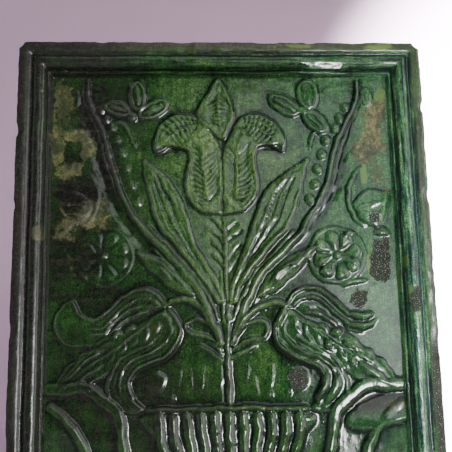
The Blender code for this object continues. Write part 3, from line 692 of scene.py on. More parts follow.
# Painted shade: dark bands where shadow falls beside the stems, under the petal tips and in hollows: spots
# (across, down), width, strength
SHADES = (
    ([(69, 22), (68, 36), (65.4, 46), (61.4, 56), (59.4, 66), (56.6, 76), (52, 86), (46, 95), (37, 104)],
     6.5, 1.0),
    ([(36, 104), (39, 113), (40, 122), (36, 130), (28, 135)], 6.5, 0.7),
    ([(-70, 22), (-68, 38), (-63, 54), (-60, 66), (-57, 78), (-52, 89), (-44, 99), (-36, 110), (-28, 121)],
     6.0, 0.8),
    ([(18, 58.8), (24, 57.8), (30.6, 60.6)], 3.4, 1.7), ([(-20, 59.4), (-27, 58.8), (-33.4, 62)], 3.4, 1.7),
    ([(26, 140), (21.4, 150), (23.4, 160), (31, 166), (41, 171), (45.4, 178), (42, 187)], 3.2, 0.8),
    ([(-27, 140), (-21.4, 150), (-23, 160), (-31, 166), (-41, 171), (-45.4, 178), (-42, 187)], 3.2, 0.8),
    ([(8, 40), (15, 38), (23, 39), (30, 45)], 3.0, 0.7),
    ([(-9, 41), (-17, 38.6), (-25, 39.4), (-32, 45)], 3.0, 0.7),
    ([(33, 131), (40, 128.4), (48, 130), (55, 136), (60, 141.6)], 3.4, 0.8),
    ([(-33, 131), (-40, 128.4), (-48, 130), (-55, 136), (-60, 141.6)], 3.4, 0.8),
    ([(-18, 154), (-10, 160)], 4.0, 0.4), ([(18, 155), (10, 161)], 4.0, 0.4),
    ([(62, 92), (64, 84), (62, 76), (66, 68)], 2.6, 0.5), ([(70, 24), (71, 34)], 6.0, 0.8),
    ([(61, 189), (70, 184.6), (85, 184)], 5.0, 0.9),
)

# Painted highlights: light lines on the edges of chipped glaze, as if catching the light, as lines of spots
# (across, down)
FLAKE_GLINTS = (
    [(-82, 88), (-79, 93), (-74, 96)], [(-75, 99), (-74.5, 107)], [(-79, 110), (-76.5, 115)],
    [(-77, 117), (-73.5, 124)], [(-69, 124), (-67, 126)], [(-65, 127), (-61, 129)],
    [(-76, 48.5), (-70, 49.6)], [(-69, 51), (-66.4, 56), (-64.6, 61)], [(-86, 36), (-85.6, 46)],
)
FLAKE_WIDTH = 0.8


def drawn_lines(lines, ends, strength_field):
    """A mask of soft lines, each given as spots, width and strength, over the whole sheet."""
    sheet = Relief()
    for spots, width, strength in lines:
        sheet.score(spots, width, strength, ends)
    return np.clip(sheet.fine * strength_field, 0, 1)


def by_hand(field):
    """The field with its lines wandering a little, as a hand cuts them."""
    across = ACROSS[None, :] + 0.50 * clouds(7.0, 101) + 0.34 * clouds(2.6, 102)
    down = DOWN[:, None] + 0.50 * clouds(7.0, 103) + 0.34 * clouds(2.6, 104)
    return sampled(field, across, down).astype(np.float32)


def carve_relief():
    """Every form of the relief on one net."""
    relief = Relief()
    middle_tulip(relief)
    sheath_leaves(relief)
    long_stems(relief)
    low_leaves(relief)
    side_tulip(relief, LEFT, 0.2, 0.2, 0.8)
    side_tulip(relief, RIGHT, 0.8, 0.4, 0.0)
    rosette(relief, (-60.0, 114.0), math.pi / 8, 0.6)
    rosette(relief, (56.2, 114.4), math.pi / 8 + 0.15, 0.9)
    berries(relief)
    trefoils(relief)
    edge_leaves(relief)
    vase(relief)
    plain_strokes(relief)
    slanted_crests(relief)
    relief.rise = by_hand(relief.rise)
    relief.fine = by_hand(relief.fine)
    return relief


# How much of the drawn height is left after pressing, wear and glazing, as a swell and as crisp forms
SWELL = 0.03
CRISPNESS = 0.55
STROKES_LEFT = 0.7

# The left side is worn to this share, up to a place across, and less over the width after it
WORN_LEFT = 0.80
WORN_FROM = -60
WORN_FADE = 30

# The field bulges under the lower corners: (across, down), half width, half height, rise
CORNER_BULGE = ((88, 197), 14, 9, 1.1)


def finished_height(relief):
    """The relief as fired: softened by a worn mould and by the glaze, with its fine strokes."""
    pressed = SWELL * softened(relief.rise, 2.2) + CRISPNESS * softened(relief.rise, 0.3)
    uneven = 1 - np.clip(1.3 * softened(relief.calm, 0.5), 0, 1)
    pressed *= 1 + uneven * (0.18 * clouds(7.0, 7) + 0.09 * clouds(2.6, 8))
    pressed *= WORN_LEFT + (1 - WORN_LEFT) * np.clip((ACROSS[None, :] - WORN_FROM) / WORN_FADE, 0, 1)
    strokes = relief.fine * (1 + 0.5 * clouds(5.0, 9))
    hand = 0.01 * clouds(9.0, 3) + 0.07 * clouds(24.0, 4)
    skin = 0.015 * clouds(3.0, 5) + 0.010 * clouds(1.3, 6)
    (across, down), wide, high, bulge = CORNER_BULGE
    from_side = (np.abs(ACROSS)[None, :] - across) / wide
    from_level = (DOWN[:, None] - down) / high
    corner = bulge * np.exp(-(from_side**2) - from_level**2)
    return softened(pressed + STROKES_LEFT * strokes, GLAZE_SPREAD) + hand + skin + corner


# Where the glaze has aged, and where light is painted on it, as soft patches: (across, down), half width,
# half height, strength
OCHRE = (
    ((-81, 34), 4.6, 10.0, 1.25), ((-83.6, 56), 3.6, 14.0, 1.05), ((-75, 51), 9.0, 4.0, 1.2),
    ((-68.5, 57), 3.4, 7.0, 1.0), ((-79, 70), 7.0, 4.5, 0.95), ((78, 47), 4.5, 11.0, 1.0),
    ((73, 60), 9.0, 6.5, 0.9), ((79, 73), 5.5, 8.0, 0.65), ((-92, 102), 3.0, 5.0, 0.8),
    ((-66, 91), 8.0, 8.0, 0.8), ((-78, 101), 6.0, 7.0, 0.7), ((80, 188), 6.0, 3.0, 0.5),
    ((-36, 150), 7.0, 8.0, 0.35), ((76, 56), 7.0, 12.0, 0.8), ((80, 40), 5.0, 8.0, 0.9),
)
SOOT = (
    ((-78, 105), 20.0, 34.0, 0.9), ((-75, 62), 7.0, 8.0, 0.9), ((-66, 42), 11.0, 20.0, 1.2),
    ((-73, 84), 15.0, 12.0, 1.2), ((-60, 72), 9.0, 22.0, 0.9), ((-56, 34), 12.0, 13.0, 0.8),
    ((-48, 40), 9.0, 16.0, 0.5), ((-64, 135), 16.0, 9.0, 0.8), ((-36, 177), 8.0, 9.0, 0.9),
    ((-70, 180), 16.0, 16.0, 0.7), ((-88, 30), 12.0, 24.0, 0.8), ((-72, 162), 20.0, 20.0, 0.55),
    ((-45, 122), 14.0, 20.0, 0.3), ((-64, 64), 24.0, 50.0, 0.50), ((-52, 150), 36.0, 26.0, 0.45),
    ((-46, 186), 36.0, 24.0, 0.75), ((-12, 186), 18.0, 16.0, 0.30), ((73, 187), 13.0, 5.0, 0.9),
)
GRIT = (
    ((78.0, 117), 4.8, 14.0, 1.0), ((66, 135.2), 4.8, 4.8, 1.0), ((33.8, 175.4), 4.6, 4.8, 1.0),
    ((94.5, 138), 3.0, 8.0, 0.9), ((94.6, 121), 2.6, 4.5, 0.5), ((76, 94), 4.0, 4.0, 0.6),
    ((-46, 24), 3.0, 3.0, 0.5),
)
LIME = (
    ((82, 29), 3.0, 3.4, 1.0), ((72, 73), 1.6, 5.0, 0.8), ((79, 95), 1.6, 3.6, 0.9),
    ((72.4, 117), 1.2, 6.0, 1.0), ((86.6, 126.5), 1.4, 6.0, 1.0), ((-92, 28), 1.5, 1.2, 0.8),
    ((90.4, 118), 0.9, 3.0, 0.9), ((92, 134), 1.0, 4.0, 0.8), ((40, 2.5), 10.0, 1.6, 0.8),
    ((84, 3), 8.0, 1.8, 0.8), ((20, 7.5), 9.0, 0.8, 0.5), ((-18, 6.0), 6.0, 0.8, 0.5),
)
# Painted light: the middle of the field lightened and greyed, as if more brightly lit and veiled by sheen
PAINTED_LIGHT_PATCHES = (
    ((-6, 70), 30.0, 52.0, 1.0), ((2, 128), 22.0, 44.0, 0.8), ((-30, 92), 16.0, 26.0, 0.7),
    ((28, 88), 18.0, 30.0, 0.5),
)
# Painted light: a whitish haze of reflection over the right frame and the right of the field
PAINTED_PALE_LIGHT = (
    ((97, 140), 13.0, 74.0, 1.0), ((76, 110), 16.0, 54.0, 0.45), ((60, 70), 22.0, 40.0, 0.25),
)


def patches(places, seed, ragged=0.5, soft=0.35):
    """A mask of soft ragged patches over the sheet."""
    edge = ragged * (0.6 * clouds(6.0, seed) + 0.45 * clouds(2.2, seed + 1) + 0.35 * clouds(0.9, seed + 2))
    mask = np.zeros((ROWS, COLUMNS), np.float32)
    for (across, down), wide, high, strength in places:
        far = np.hypot((ACROSS[None, :] - across) / wide, (DOWN[:, None] - down) / high)
        mask = np.maximum(mask, strength * np.clip((1.0 + 0.5 * soft - far + edge) / soft, 0, 1))
    return mask


def side_to_side(low, high, seed):
    """A mask that rises from 0 to 1 across the sheet between two places, along a ragged front."""
    front = ACROSS[None, :] + 9.0 * clouds(16.0, seed) + 4.0 * clouds(5.0, seed + 1)
    return np.clip((front - low) / (high - low), 0, 1)


def sheet_masks(relief):
    """The masks that colour the glaze, each over the whole sheet; some of them paint shade, light and
    glints.
    """
    form = softened(relief.rise, 0.3) + 0.8 * relief.fine
    foot = np.clip((softened(form, 0.8) - form - 0.04) / 0.30, 0, 1)
    broad_foot = np.clip((softened(form, 3.0) - form) / 1.2, 0, 1)
    crest = np.clip((form - softened(form, 0.8) - 0.05) / 0.34, 0, 1)
    cuts = np.clip((softened(relief.fine, 1.3) - relief.fine - 0.02) / 0.24, 0, 1)
    lands = np.clip((relief.fine - softened(relief.fine, 1.3) - 0.02) / 0.16, 0, 1)
    flake_glint_lines = [(spots, FLAKE_WIDTH, 1.0) for spots in FLAKE_GLINTS]
    return {
        # Glaze pooled in hollows, with painted shade darkening the feet of the forms
        "pool_and_shade": np.clip(0.75 * foot + 0.60 * broad_foot + 0.60 * cuts, 0, 1),
        "crest": np.clip(crest + 0.55 * lands, 0, 1),
        "ochre": patches(OCHRE, 21, 0.6, 0.6),
        "soot": patches(SOOT, 31, 0.5, 0.9),
        "grit": patches(GRIT, 41, 0.55, 0.4),
        "lime": patches(LIME, 51, 0.8, 0.9),
        "painted_light": patches(PAINTED_LIGHT_PATCHES, 61, 0.3, 1.4),
        "pale": patches(PAINTED_PALE_LIGHT, 91, 0.6, 1.2),
        "flake_glint": drawn_lines(flake_glint_lines, (0.2, 0.2), 0.6 + 1.2 * clouds(1.1, 95) + 0.6 * clouds(3.0, 96)),
        "shade": drawn_lines(SHADES, (0.6, 0.4), 1.0 + 0.25 * clouds(4.0, 97) + 0.2 * clouds(1.4, 98)),
        "dull": 1 - side_to_side(-50.0, 12.0, 71),
        # Painted light: rises from left to right, lighting the right side
        "right_side_painted_light": side_to_side(20.0, 90.0, 81),
    }


def drawn_spot(across, down):
    """The spot of the drawn sheet that lies at a spot of the sunk field."""
    return SEEN_FROM[0] + (across - SEEN_FROM[0]) / SET_OUT, SEEN_FROM[1] + (down - SEEN_FROM[1]) / SET_OUT


def sampled(field, across, down):
    """A field's values at spots of the sheet."""
    column = np.clip((across + WIDTH / 2) / CELL, 0, COLUMNS - 1.001)
    row = np.clip(down / CELL, 0, ROWS - 1.001)
    c = column.astype(int)
    r = row.astype(int)
    cp = column - c
    rp = row - r
    top = field[r, c] * (1 - cp) + field[r, c + 1] * cp
    low = field[r + 1, c] * (1 - cp) + field[r + 1, c + 1] * cp
    return top * (1 - rp) + low * rp


# Meshes

def world_y(depth):
    """The world's Y, in metres, of a depth behind the outer band's face."""
    return tile_low.y + (ROLL_RISE + depth) * MM


def world_z(down):
    """The world's Z, in metres, of a distance down from the top edge."""
    return tile_high.z - down * MM


def places_on_tile(mesh):
    """Each vertex's place on the tile: across, down and depth, in millimetres."""
    spots = np.array([v.co for v in mesh.vertices])
    return spots[:, 0] / MM, (tile_high.z - spots[:, 2]) / MM, (spots[:, 1] - world_y(0)) / MM


def finished_object(name, shape, masks):
    """An object from a bmesh, smooth, with its masks as numbers that a material reads by name."""
    bmesh.ops.recalc_face_normals(shape, faces=shape.faces[:])
    mesh = bpy.data.meshes.new(name)
    shape.to_mesh(mesh)
    shape.free()
    mesh.shade_smooth()
    for mask, values in masks(mesh).items():
        layer = mesh.attributes.new(mask, "FLOAT", "POINT")
        layer.data.foreach_set("value", np.asarray(values, np.float32))
    piece = bpy.data.objects.new(name, mesh)
    bpy.context.scene.collection.objects.link(piece)
    return piece


# The relief's slab, in millimetres: how far it goes under the frame, its thickness, and how far down
# its net is fine, with the net's rows above and below that and its columns
SLAB_TUCK = 0.9
SLAB_THICKNESS = 2.3
FINE_DOWN = 192.0
FINE_ROWS = 284
PLAIN_ROWS = 54
SLAB_COLUMNS = 288


def relief_piece(height, masks):
    """The field with its relief: a net of vertices raised to the relief's height, closed behind."""
    half = WIDTH / 2 - FRAME_WIDTH + SLAB_TUCK
    top = FRAME_WIDTH - SLAB_TUCK
    bottom = HEIGHT - top
    shape = bmesh.new()
    rows = FINE_ROWS + PLAIN_ROWS
    bmesh.ops.create_grid(shape, x_segments=SLAB_COLUMNS, y_segments=rows, size=0.5)
    flat = np.array([v.co for v in shape.verts])
    across = 2 * half * flat[:, 0]
    share = (0.5 - flat[:, 1]) * rows
    fine = top + (FINE_DOWN - top) * share / FINE_ROWS
    plain = FINE_DOWN + (bottom - FINE_DOWN) * (share - FINE_ROWS) / PLAIN_ROWS
    down = np.where(share <= FINE_ROWS, fine, plain)
    border = np.minimum(half - np.abs(across), np.minimum(down - top, bottom - down))
    fade = np.clip(border / SLAB_TUCK, 0, 1)
    rise = sampled(height, *drawn_spot(across, down)) * fade
    for vert, x, z, up in zip(shape.verts, across, down, rise):
        vert.co = (x * MM, world_y(FIELD_DEPTH - up), world_z(z))
    rim = [e for e in shape.edges if e.is_boundary]
    skirt = bmesh.ops.extrude_edge_only(shape, edges=rim)["geom"]
    back = world_y(FIELD_DEPTH + SLAB_THICKNESS)
    for vert in (g for g in skirt if isinstance(g, bmesh.types.BMVert)):
        vert.co.y = back
    bmesh.ops.holes_fill(shape, edges=[e for e in shape.edges if e.is_boundary], sides=0)

    def read_masks(mesh):
        x, z, _ = places_on_tile(mesh)
        x, z = drawn_spot(x, z)
        return {name: sampled(field, x, z) for name, field in masks.items()}

    return finished_object("relief_field", shape, read_masks)


# The moulding from the outer edge to the field: (inset from the edge, depth)
MOULDING = (
    (0.0, 1.5), (0.2, 0.8), (0.7, 0.25), (1.5, 0.05), (2.6, 0.0), (3.6, 0.05), (4.6, 0.10),
    (5.4, 0.25), (6.0, 0.55), (6.5, 0.95), (7.0, 1.10), (7.5, 0.90), (7.9, 0.40), (8.4, -0.20),
    (8.9, -0.65), (9.6, -0.95), (10.5, -1.10), (11.4, -1.12), (12.3, -1.02), (13.0, -0.82),
    (13.6, -0.52), (14.1, -0.12), (14.5, 0.45), (14.8, 1.2), (15.0, 2.0), (15.2, 2.9), (15.4, 3.7),
    (15.7, 4.1), (15.95, 4.0), (16.2, 3.8), (16.4, 4.0), (16.6, 4.7), (16.85, 5.6), (17.2, 6.7),
    (17.6, 7.4), (18.1, 8.0), (18.7, 8.6), (18.9, 10.2),
)

# The net round the tile: the step along its sides in millimetres, and the parts of each corner
SIDE_STEP = 1.45
WIDE_STEPS = int(round(WIDTH / SIDE_STEP))
HIGH_STEPS = int(round(HEIGHT / SIDE_STEP))
CORNER_PARTS = 8

# How many of the back's last rings are the plate's edge, with its sharper corners
EDGE_RINGS = 7


def back_rings():
    """The collar and the plate's back, from the middle of the back out to the plate's edge."""
    inner = COLLAR_SETBACK + COLLAR_WALL
    lip = COLLAR_SETBACK - COLLAR_LIP_WIDTH
    shoulder = RIM_DEPTH - COLLAR_LIP_HEIGHT
    rings = [(inner + 30, PLATE_BACK), (inner + 12, PLATE_BACK), (inner + 3, PLATE_BACK)]
    rings += [(inner + 1.2, PLATE_BACK + 0.3), (inner + 0.3, PLATE_BACK + 1.2), (inner, PLATE_BACK + 3.0)]
    rings += [(inner, PLATE_BACK + (RIM_DEPTH - PLATE_BACK) * part) for part in (0.2, 0.4, 0.6, 0.8, 0.92)]
    rings += [(inner - 0.3, RIM_DEPTH - 0.7), (inner - 1.0, RIM_DEPTH - 0.1), (inner - 2.5, RIM_DEPTH)]
    rings += [(inner - 5.0, RIM_DEPTH), (inner - 8.0, RIM_DEPTH), (lip + 2.0, RIM_DEPTH)]
    rings += [(lip + 0.7, RIM_DEPTH - 0.2), (lip + 0.1, RIM_DEPTH - 1.0), (lip, RIM_DEPTH - 3.0)]
    rings += [(lip, shoulder + 2.5), (lip + 0.5, shoulder + 0.8), (lip + 1.6, shoulder - 0.8)]
    rings += [(COLLAR_SETBACK - 0.7, shoulder - 2.6), (COLLAR_SETBACK, shoulder - 5.0)]
    rings += [(COLLAR_SETBACK, shoulder - part) for part in (11.0, 18.0, 25.0, 31.0)]
    rings += [(COLLAR_SETBACK - 0.3, PLATE_BACK + 1.6), (COLLAR_SETBACK - 1.4, PLATE_BACK + 0.3)]
    rings += [(inset, PLATE_BACK) for inset in (15.0, 11.0, 7.0, 4.0, 2.0, 0.9)]
    rings += [(0.2, PLATE_BACK - 0.25), (0.0, PLATE_BACK - 1.0)]
    rings += [(0.0, depth) for depth in (13.0, 10.5, 8.0, 5.5, 3.4)]
    return rings


def ring_spots(inset, radius):
    """Spots (across, down) round the tile at an inset from its edges, with rounded corners."""
    middle = np.array((WIDTH / 2 - inset - radius, HEIGHT / 2 - inset - radius))
    corners = ((1, 1), (-1, 1), (-1, -1), (1, -1))

    def on_corner(corner, quarter_turns):
        angle = math.radians(90 * quarter_turns)
        return middle * corners[corner % 4] + radius * np.array((math.cos(angle), math.sin(angle)))

    spots = []
    for corner in range(4):
        spots += [on_corner(corner, corner + k / CORNER_PARTS) for k in range(CORNER_PARTS + 1)]
        start = spots[-1]
        end = on_corner(corner + 1, corner + 1)
        steps = WIDE_STEPS if corner % 2 == 0 else HIGH_STEPS
        spots += [start + (end - start) * k / steps for k in range(1, steps)]
    return np.array([(x, HEIGHT / 2 - z) for x, z in spots])


# Chips knocked out of the frame's outer edge: (across, down), radius, how deep
CHIPS = (
    ((-105, 48), 3.2, 1.0), ((-105, 0), 3.4, 0.7), ((105, 0), 3.6, 0.8), ((-105, 88), 2.6, 0.5),
    ((-62, 0), 3.0, 0.45), ((-20, 0), 5.0, 0.4), ((24, 0), 7.0, 0.5), ((47, 0), 3.0, 0.5),
    ((70, 0), 6.0, 0.4), ((105, 36), 3.0, 0.8), ((105, 58), 3.0, 0.4), ((105, 84), 4.0, 0.7),
    ((105, 120), 3.0, 0.5), ((105, 160), 5.0, 0.5), ((-105, 150), 4.0, 0.6), ((-105, 205), 5.0, 0.7),
    ((105, 230), 5.0, 0.8), ((-40, 270), 5.0, 0.7), ((55, 270), 5.0, 0.6), ((105, 270), 4.5, 1.1),
    ((-105, 270), 4.0, 0.9),
)


# Where the glazed front ends: this far in from the edge, and this far before the plate's back
FRONT_INSET = 19.5
BACK_MARGIN = 0.5

# The frame's upper run, down to here, has a place where the roll's inner side is pressed flat and a
# longer one where it sags, each with its middle and half width
TOP_RUN = 19
FLAT_PLACE, FLAT_HALF = 54.5, 12
FLAT_INSETS = (12.0, 15.3)
SAG_PLACE, SAG_HALF, SAG_DEPTH = 66, 24, 0.45


def lumps(x, y, z, size, seed):
    """Smooth noise from about -1 to 1 with lumps of the given size."""
    return noise.noise(Vector((x / size + 17.3 * seed, y / size - 5.1 * seed, z / size + 9.7 * seed)))


def worn_place(across, down, inset, depth):
    """A spot of the skin after handling, firing and knocks, kept inside the tile's box."""
    hand = lumps(across, depth, down, 24.0, 1)
    ripple = lumps(across, depth, down, 6.0, 2)
    if inset < FRONT_INSET and depth < PLATE_BACK - BACK_MARGIN:
        rough = lumps(across, depth, down, 2.2, 3)
        edge = max(0.0, 1.0 - inset / 3.5)
        inset_in = edge * (0.16 + 0.20 * hand + 0.20 * ripple + 0.18 * rough)
        back_in = 0.16 + 0.26 * hand + 0.16 * ripple + 0.07 * rough
        for (cx, cz), radius, bite in CHIPS:
            far = math.hypot(across - cx, down - cz) + 0.8 * ripple
            if far < radius:
                dent = bite * (1 - max(0.0, far / radius) ** 2) ** 0.6
                front = max(0.0, 1.0 - depth / 9.0)
                inset_in += dent * front
                back_in += 0.9 * dent * front * max(0.0, 1.0 - inset / 6.5)
        if inset > 6.0:
            share = min(1.0, (inset - 6.0) / 2)
            sway, quiver = lumps(across, depth, down, 19.0, 4), lumps(across, depth, down, 5.0, 5)
            across += share * (0.34 * sway + 0.13 * quiver)
            sway, quiver = lumps(across, depth, down, 21.0, 6), lumps(across, depth, down, 5.5, 7)
            down += share * (0.34 * sway + 0.13 * quiver)
        beside = abs(across - FLAT_PLACE)
        if down < TOP_RUN and beside < FLAT_HALF and FLAT_INSETS[0] < inset < FLAT_INSETS[1]:
            share = min(1.0, (FLAT_HALF - beside) / 3)
            depth += share * (-1.0 + 0.25 * (inset - FLAT_INSETS[0]) - depth)
        if down < TOP_RUN and abs(across - SAG_PLACE) < SAG_HALF:
            sag = 1 + math.cos(math.pi * (across - SAG_PLACE) / SAG_HALF)
            back_in += SAG_DEPTH * sag * min(1.0, max(0.0, inset - 7.5) / 3)
        if inset < 3.5:
            across *= 1 - max(0.0, inset_in) / (WIDTH / 2)
            down = HEIGHT / 2 + (down - HEIGHT / 2) * (1 - max(0.0, inset_in) / (HEIGHT / 2))
        depth = depth + max(0.0, back_in)
    elif inset > 0.5:
        slack = 0.45 + 0.4 * hand + 0.25 * ripple
        shrink = 1 - 0.25 * max(0.0, slack) / (WIDTH / 2)
        across *= shrink
        down = HEIGHT / 2 + (down - HEIGHT / 2) * shrink
        depth += -0.35 * max(0.0, slack) if depth > PLATE_BACK else 0.3 * ripple
        depth = min(RIM_DEPTH, depth)
    return across, down, depth


def rounded_loop(shape, spot):
    """A loop of edges round a rectangle with rounded corners, numbered from its right side's top."""
    bmesh.ops.create_grid(shape, x_segments=1, y_segments=1, size=0.5)
    bmesh.ops.scale(shape, vec=(WIDTH, HEIGHT, 1), verts=shape.verts[:])
    bmesh.ops.bevel(
        shape, geom=shape.verts[:], offset=COLLAR_RADIUS, offset_type="OFFSET", affect="VERTICES",
        segments=CORNER_PARTS, profile=0.5, material=-1,
    )
    bmesh.ops.delete(shape, geom=shape.faces[:], context="FACES_ONLY")
    for axis, steps in ((0, WIDE_STEPS), (1, HIGH_STEPS)):
        sides = [e for e in shape.edges if abs(e.verts[0].co[axis] - e.verts[1].co[axis]) > 20]
        bmesh.ops.subdivide_edges(shape, edges=sides, cuts=steps - 1)
    first = max(shape.verts, key=lambda v: (round(v.co.x, 3), v.co.y))
    start = math.atan2(first.co.y, first.co.x) - 1e-6
    order = sorted(shape.verts, key=lambda v: (math.atan2(v.co.y, v.co.x) - start) % (2 * math.pi))
    for k, vert in enumerate(order):
        vert[spot] = k
    return order, shape.edges[:]


def body_piece(masks):
    """The frame, the plate and the collar as one skin, made ring by ring."""
    rings = [(inset, depth, COLLAR_RADIUS) for inset, depth in back_rings()[:-EDGE_RINGS]]
    rings += [(inset, depth, CORNER_RADIUS) for inset, depth in back_rings()[-EDGE_RINGS:]]
    rings += [(inset, depth, max(CORNER_RADIUS - inset, 1.2)) for inset, depth in MOULDING]
    shape = bmesh.new()
    spot = shape.verts.layers.int.new("spot")
    inset_of = shape.verts.layers.float.new("inset")
    verts, edges = rounded_loop(shape, spot)

    def place(ring_verts, inset, depth, radius):
        flat = ring_spots(inset, radius)
        for vert in ring_verts:
            x, z = flat[vert[spot]]
            x, z, level = worn_place(x, z, inset, depth)
            vert.co = (x * MM, world_y(level), world_z(z))
            vert[inset_of] = inset if depth < PLATE_BACK - BACK_MARGIN else -1.0 - inset

    place(verts, *rings[0])
    bmesh.ops.holes_fill(shape, edges=edges, sides=0)
    for inset, depth, radius in rings[1:]:
        made = bmesh.ops.extrude_edge_only(shape, edges=edges)["geom"]
        edges = [g for g in made if isinstance(g, bmesh.types.BMEdge)]
        place([g for g in made if isinstance(g, bmesh.types.BMVert)], inset, depth, radius)
    bmesh.ops.holes_fill(shape, edges=edges, sides=0)

    def read_masks(mesh):
        x, z, depth = places_on_tile(mesh)
        inset = np.array([a.value for a in mesh.attributes["inset"].data])

        def near(place, spread):
            return np.exp(-(((inset - place) / spread) ** 2))

        front = (inset >= 0) & ((depth < 3.0) | (inset > 5))
        # The moulding's grooves darkened: glaze pooled in them, with painted shade
        groove = 0.8 * near(7.6, 0.9) + 0.4 * near(15.4, 0.4) + 0.45 * near(18.8, 0.5)
        crest = near(9.2, 0.4) + 0.6 * near(16.3, 0.3)
        found = {name: sampled(field, x, z) * front for name, field in masks.items()}
        found["pool_and_shade"] = np.clip(groove, 0, 1) * front
        found["crest"] = 0.5 * np.clip(crest, 0, 1) * front * np.clip((x + 70) / 40, 0.25, 1)
        # Only a fifth of the painted light reaches the frame
        found["painted_light"] = found["painted_light"] * 0.2
        left = np.clip((-60 - x) / 20, 0, 1)
        top_left = np.clip((-30 - x) / 40, 0, 1) * (z < 22)
        found["soot"] = np.maximum(found["soot"], 0.95 * np.maximum(left, top_left)) * front
        found["band"] = np.clip((5.9 - inset) / 0.8, 0, 1) * front
        found["frame"] = np.clip((17.6 - inset) / 1.0, 0, 1) * front
        # Painted light on the frame's right inner slope, which faces away from the lamps
        slope = near(17.2, 1.2) * np.clip((x - 60) / 20, 0, 1)
        found["pale"] = np.maximum(found["pale"], 1.4 * slope) * front
        found["upright"] = np.where(WIDTH / 2 - np.abs(x) < np.minimum(z, HEIGHT - z), 1.0, 0.0)
        right_low = np.clip((x - 85) / 12, 0, 1) * np.clip((z - 125) / 40, 0, 1)
        rough_edge = 0.55 * right_low * np.clip((6.5 - inset) / 2, 0, 1)
        found["grit"] = np.maximum(found["grit"], rough_edge) * front
        found["bare"] = np.where(front, 0.0, 1.0)
        return found

    return finished_object("frame_and_collar", shape, read_masks)


# Materials

class Nodes:
    """A short way to write a material's nodes."""

    def __init__(self, material):
        material.use_nodes = True
        self.tree = material.node_tree
        self.shader = self.tree.nodes["Principled BSDF"]
        self.place = self.tree.nodes.new("ShaderNodeTexCoord").outputs["Object"]

    def link(self, source, socket):
        self.tree.links.new(source, socket)

    def mask(self, name):
        node = self.tree.nodes.new("ShaderNodeAttribute")
        node.attribute_name = name
        return node.outputs["Fac"]

    def speckle(self, size_mm, detail=3.0, roughness=0.6, stretch=(1, 1, 1)):
        place = self.place
        if stretch != (1, 1, 1):
            mapping = self.tree.nodes.new("ShaderNodeMapping")
            mapping.inputs["Scale"].default_value = stretch
            self.link(place, mapping.inputs["Vector"])
            place = mapping.outputs["Vector"]
        node = self.tree.nodes.new("ShaderNodeTexNoise")
        node.inputs["Scale"].default_value = 1000.0 / size_mm
        node.inputs["Detail"].default_value = detail
        node.inputs["Roughness"].default_value = roughness
        self.link(place, node.inputs["Vector"])
        return node.outputs["Fac"]

    def math(self, kind, first, second=None, clamp=False):
        node = self.tree.nodes.new("ShaderNodeMath")
        node.operation = kind
        node.use_clamp = clamp
        for value, socket in ((first, node.inputs[0]), (second, node.inputs[1])):
            if value is None:
                continue
            if isinstance(value, (int, float)):
                socket.default_value = value
            else:
                self.link(value, socket)
        return node.outputs[0]

    def product(self, first, second, clamp=False):
        return self.math("MULTIPLY", first, second, clamp)

    def highest(self, *parts):
        """The highest of several (output, weight) pairs."""
        result = self.product(*parts[0])
        for part in parts[1:]:
            result = self.math("MAXIMUM", result, self.product(*part))
        return result

    def total(self, *parts):
        """The sum of (output, weight) pairs and plain numbers."""
        result = None
        for part in parts:
            term = self.product(*part) if isinstance(part, tuple) else part
            result = term if result is None else self.math("ADD", result, term)
        return result

    def ramp(self, factor, stops):
        node = self.tree.nodes.new("ShaderNodeValToRGB")
        node.color_ramp.interpolation = "B_SPLINE" if len(stops) > 3 else "EASE"
        ends = node.color_ramp.elements
        while len(ends) < len(stops):
            ends.new(0.5)
        for element, (position, colour) in zip(ends, stops):
            element.position = position
            element.color = (*colour, 1.0)
        self.link(factor, node.inputs["Fac"])
        return node.outputs["Color"]

    def band(self, factor, low, high):
        """0 below low, 1 above high, smooth between."""
        node = self.tree.nodes.new("ShaderNodeMapRange")
        node.interpolation_type = "SMOOTHSTEP"
        node.inputs["From Min"].default_value = low
        node.inputs["From Max"].default_value = high
        self.link(factor, node.inputs["Value"])
        return node.outputs["Result"]

    def mix(self, factor, first, second, blend="MIX"):
        node = self.tree.nodes.new("ShaderNodeMix")
        node.data_type = "RGBA"
        node.blend_type = blend
        node.clamp_factor = True
        for value, socket in ((factor, node.inputs[0]), (first, node.inputs[6]), (second, node.inputs[7])):
            if isinstance(value, tuple):
                socket.default_value = (*value, 1.0)
            elif isinstance(value, (int, float)):
                socket.default_value = value
            else:
                self.link(value, socket)
        return node.outputs[2]

    def tinted(self, factor, colour, tint):
        return self.mix(factor, colour, tint, "MULTIPLY")


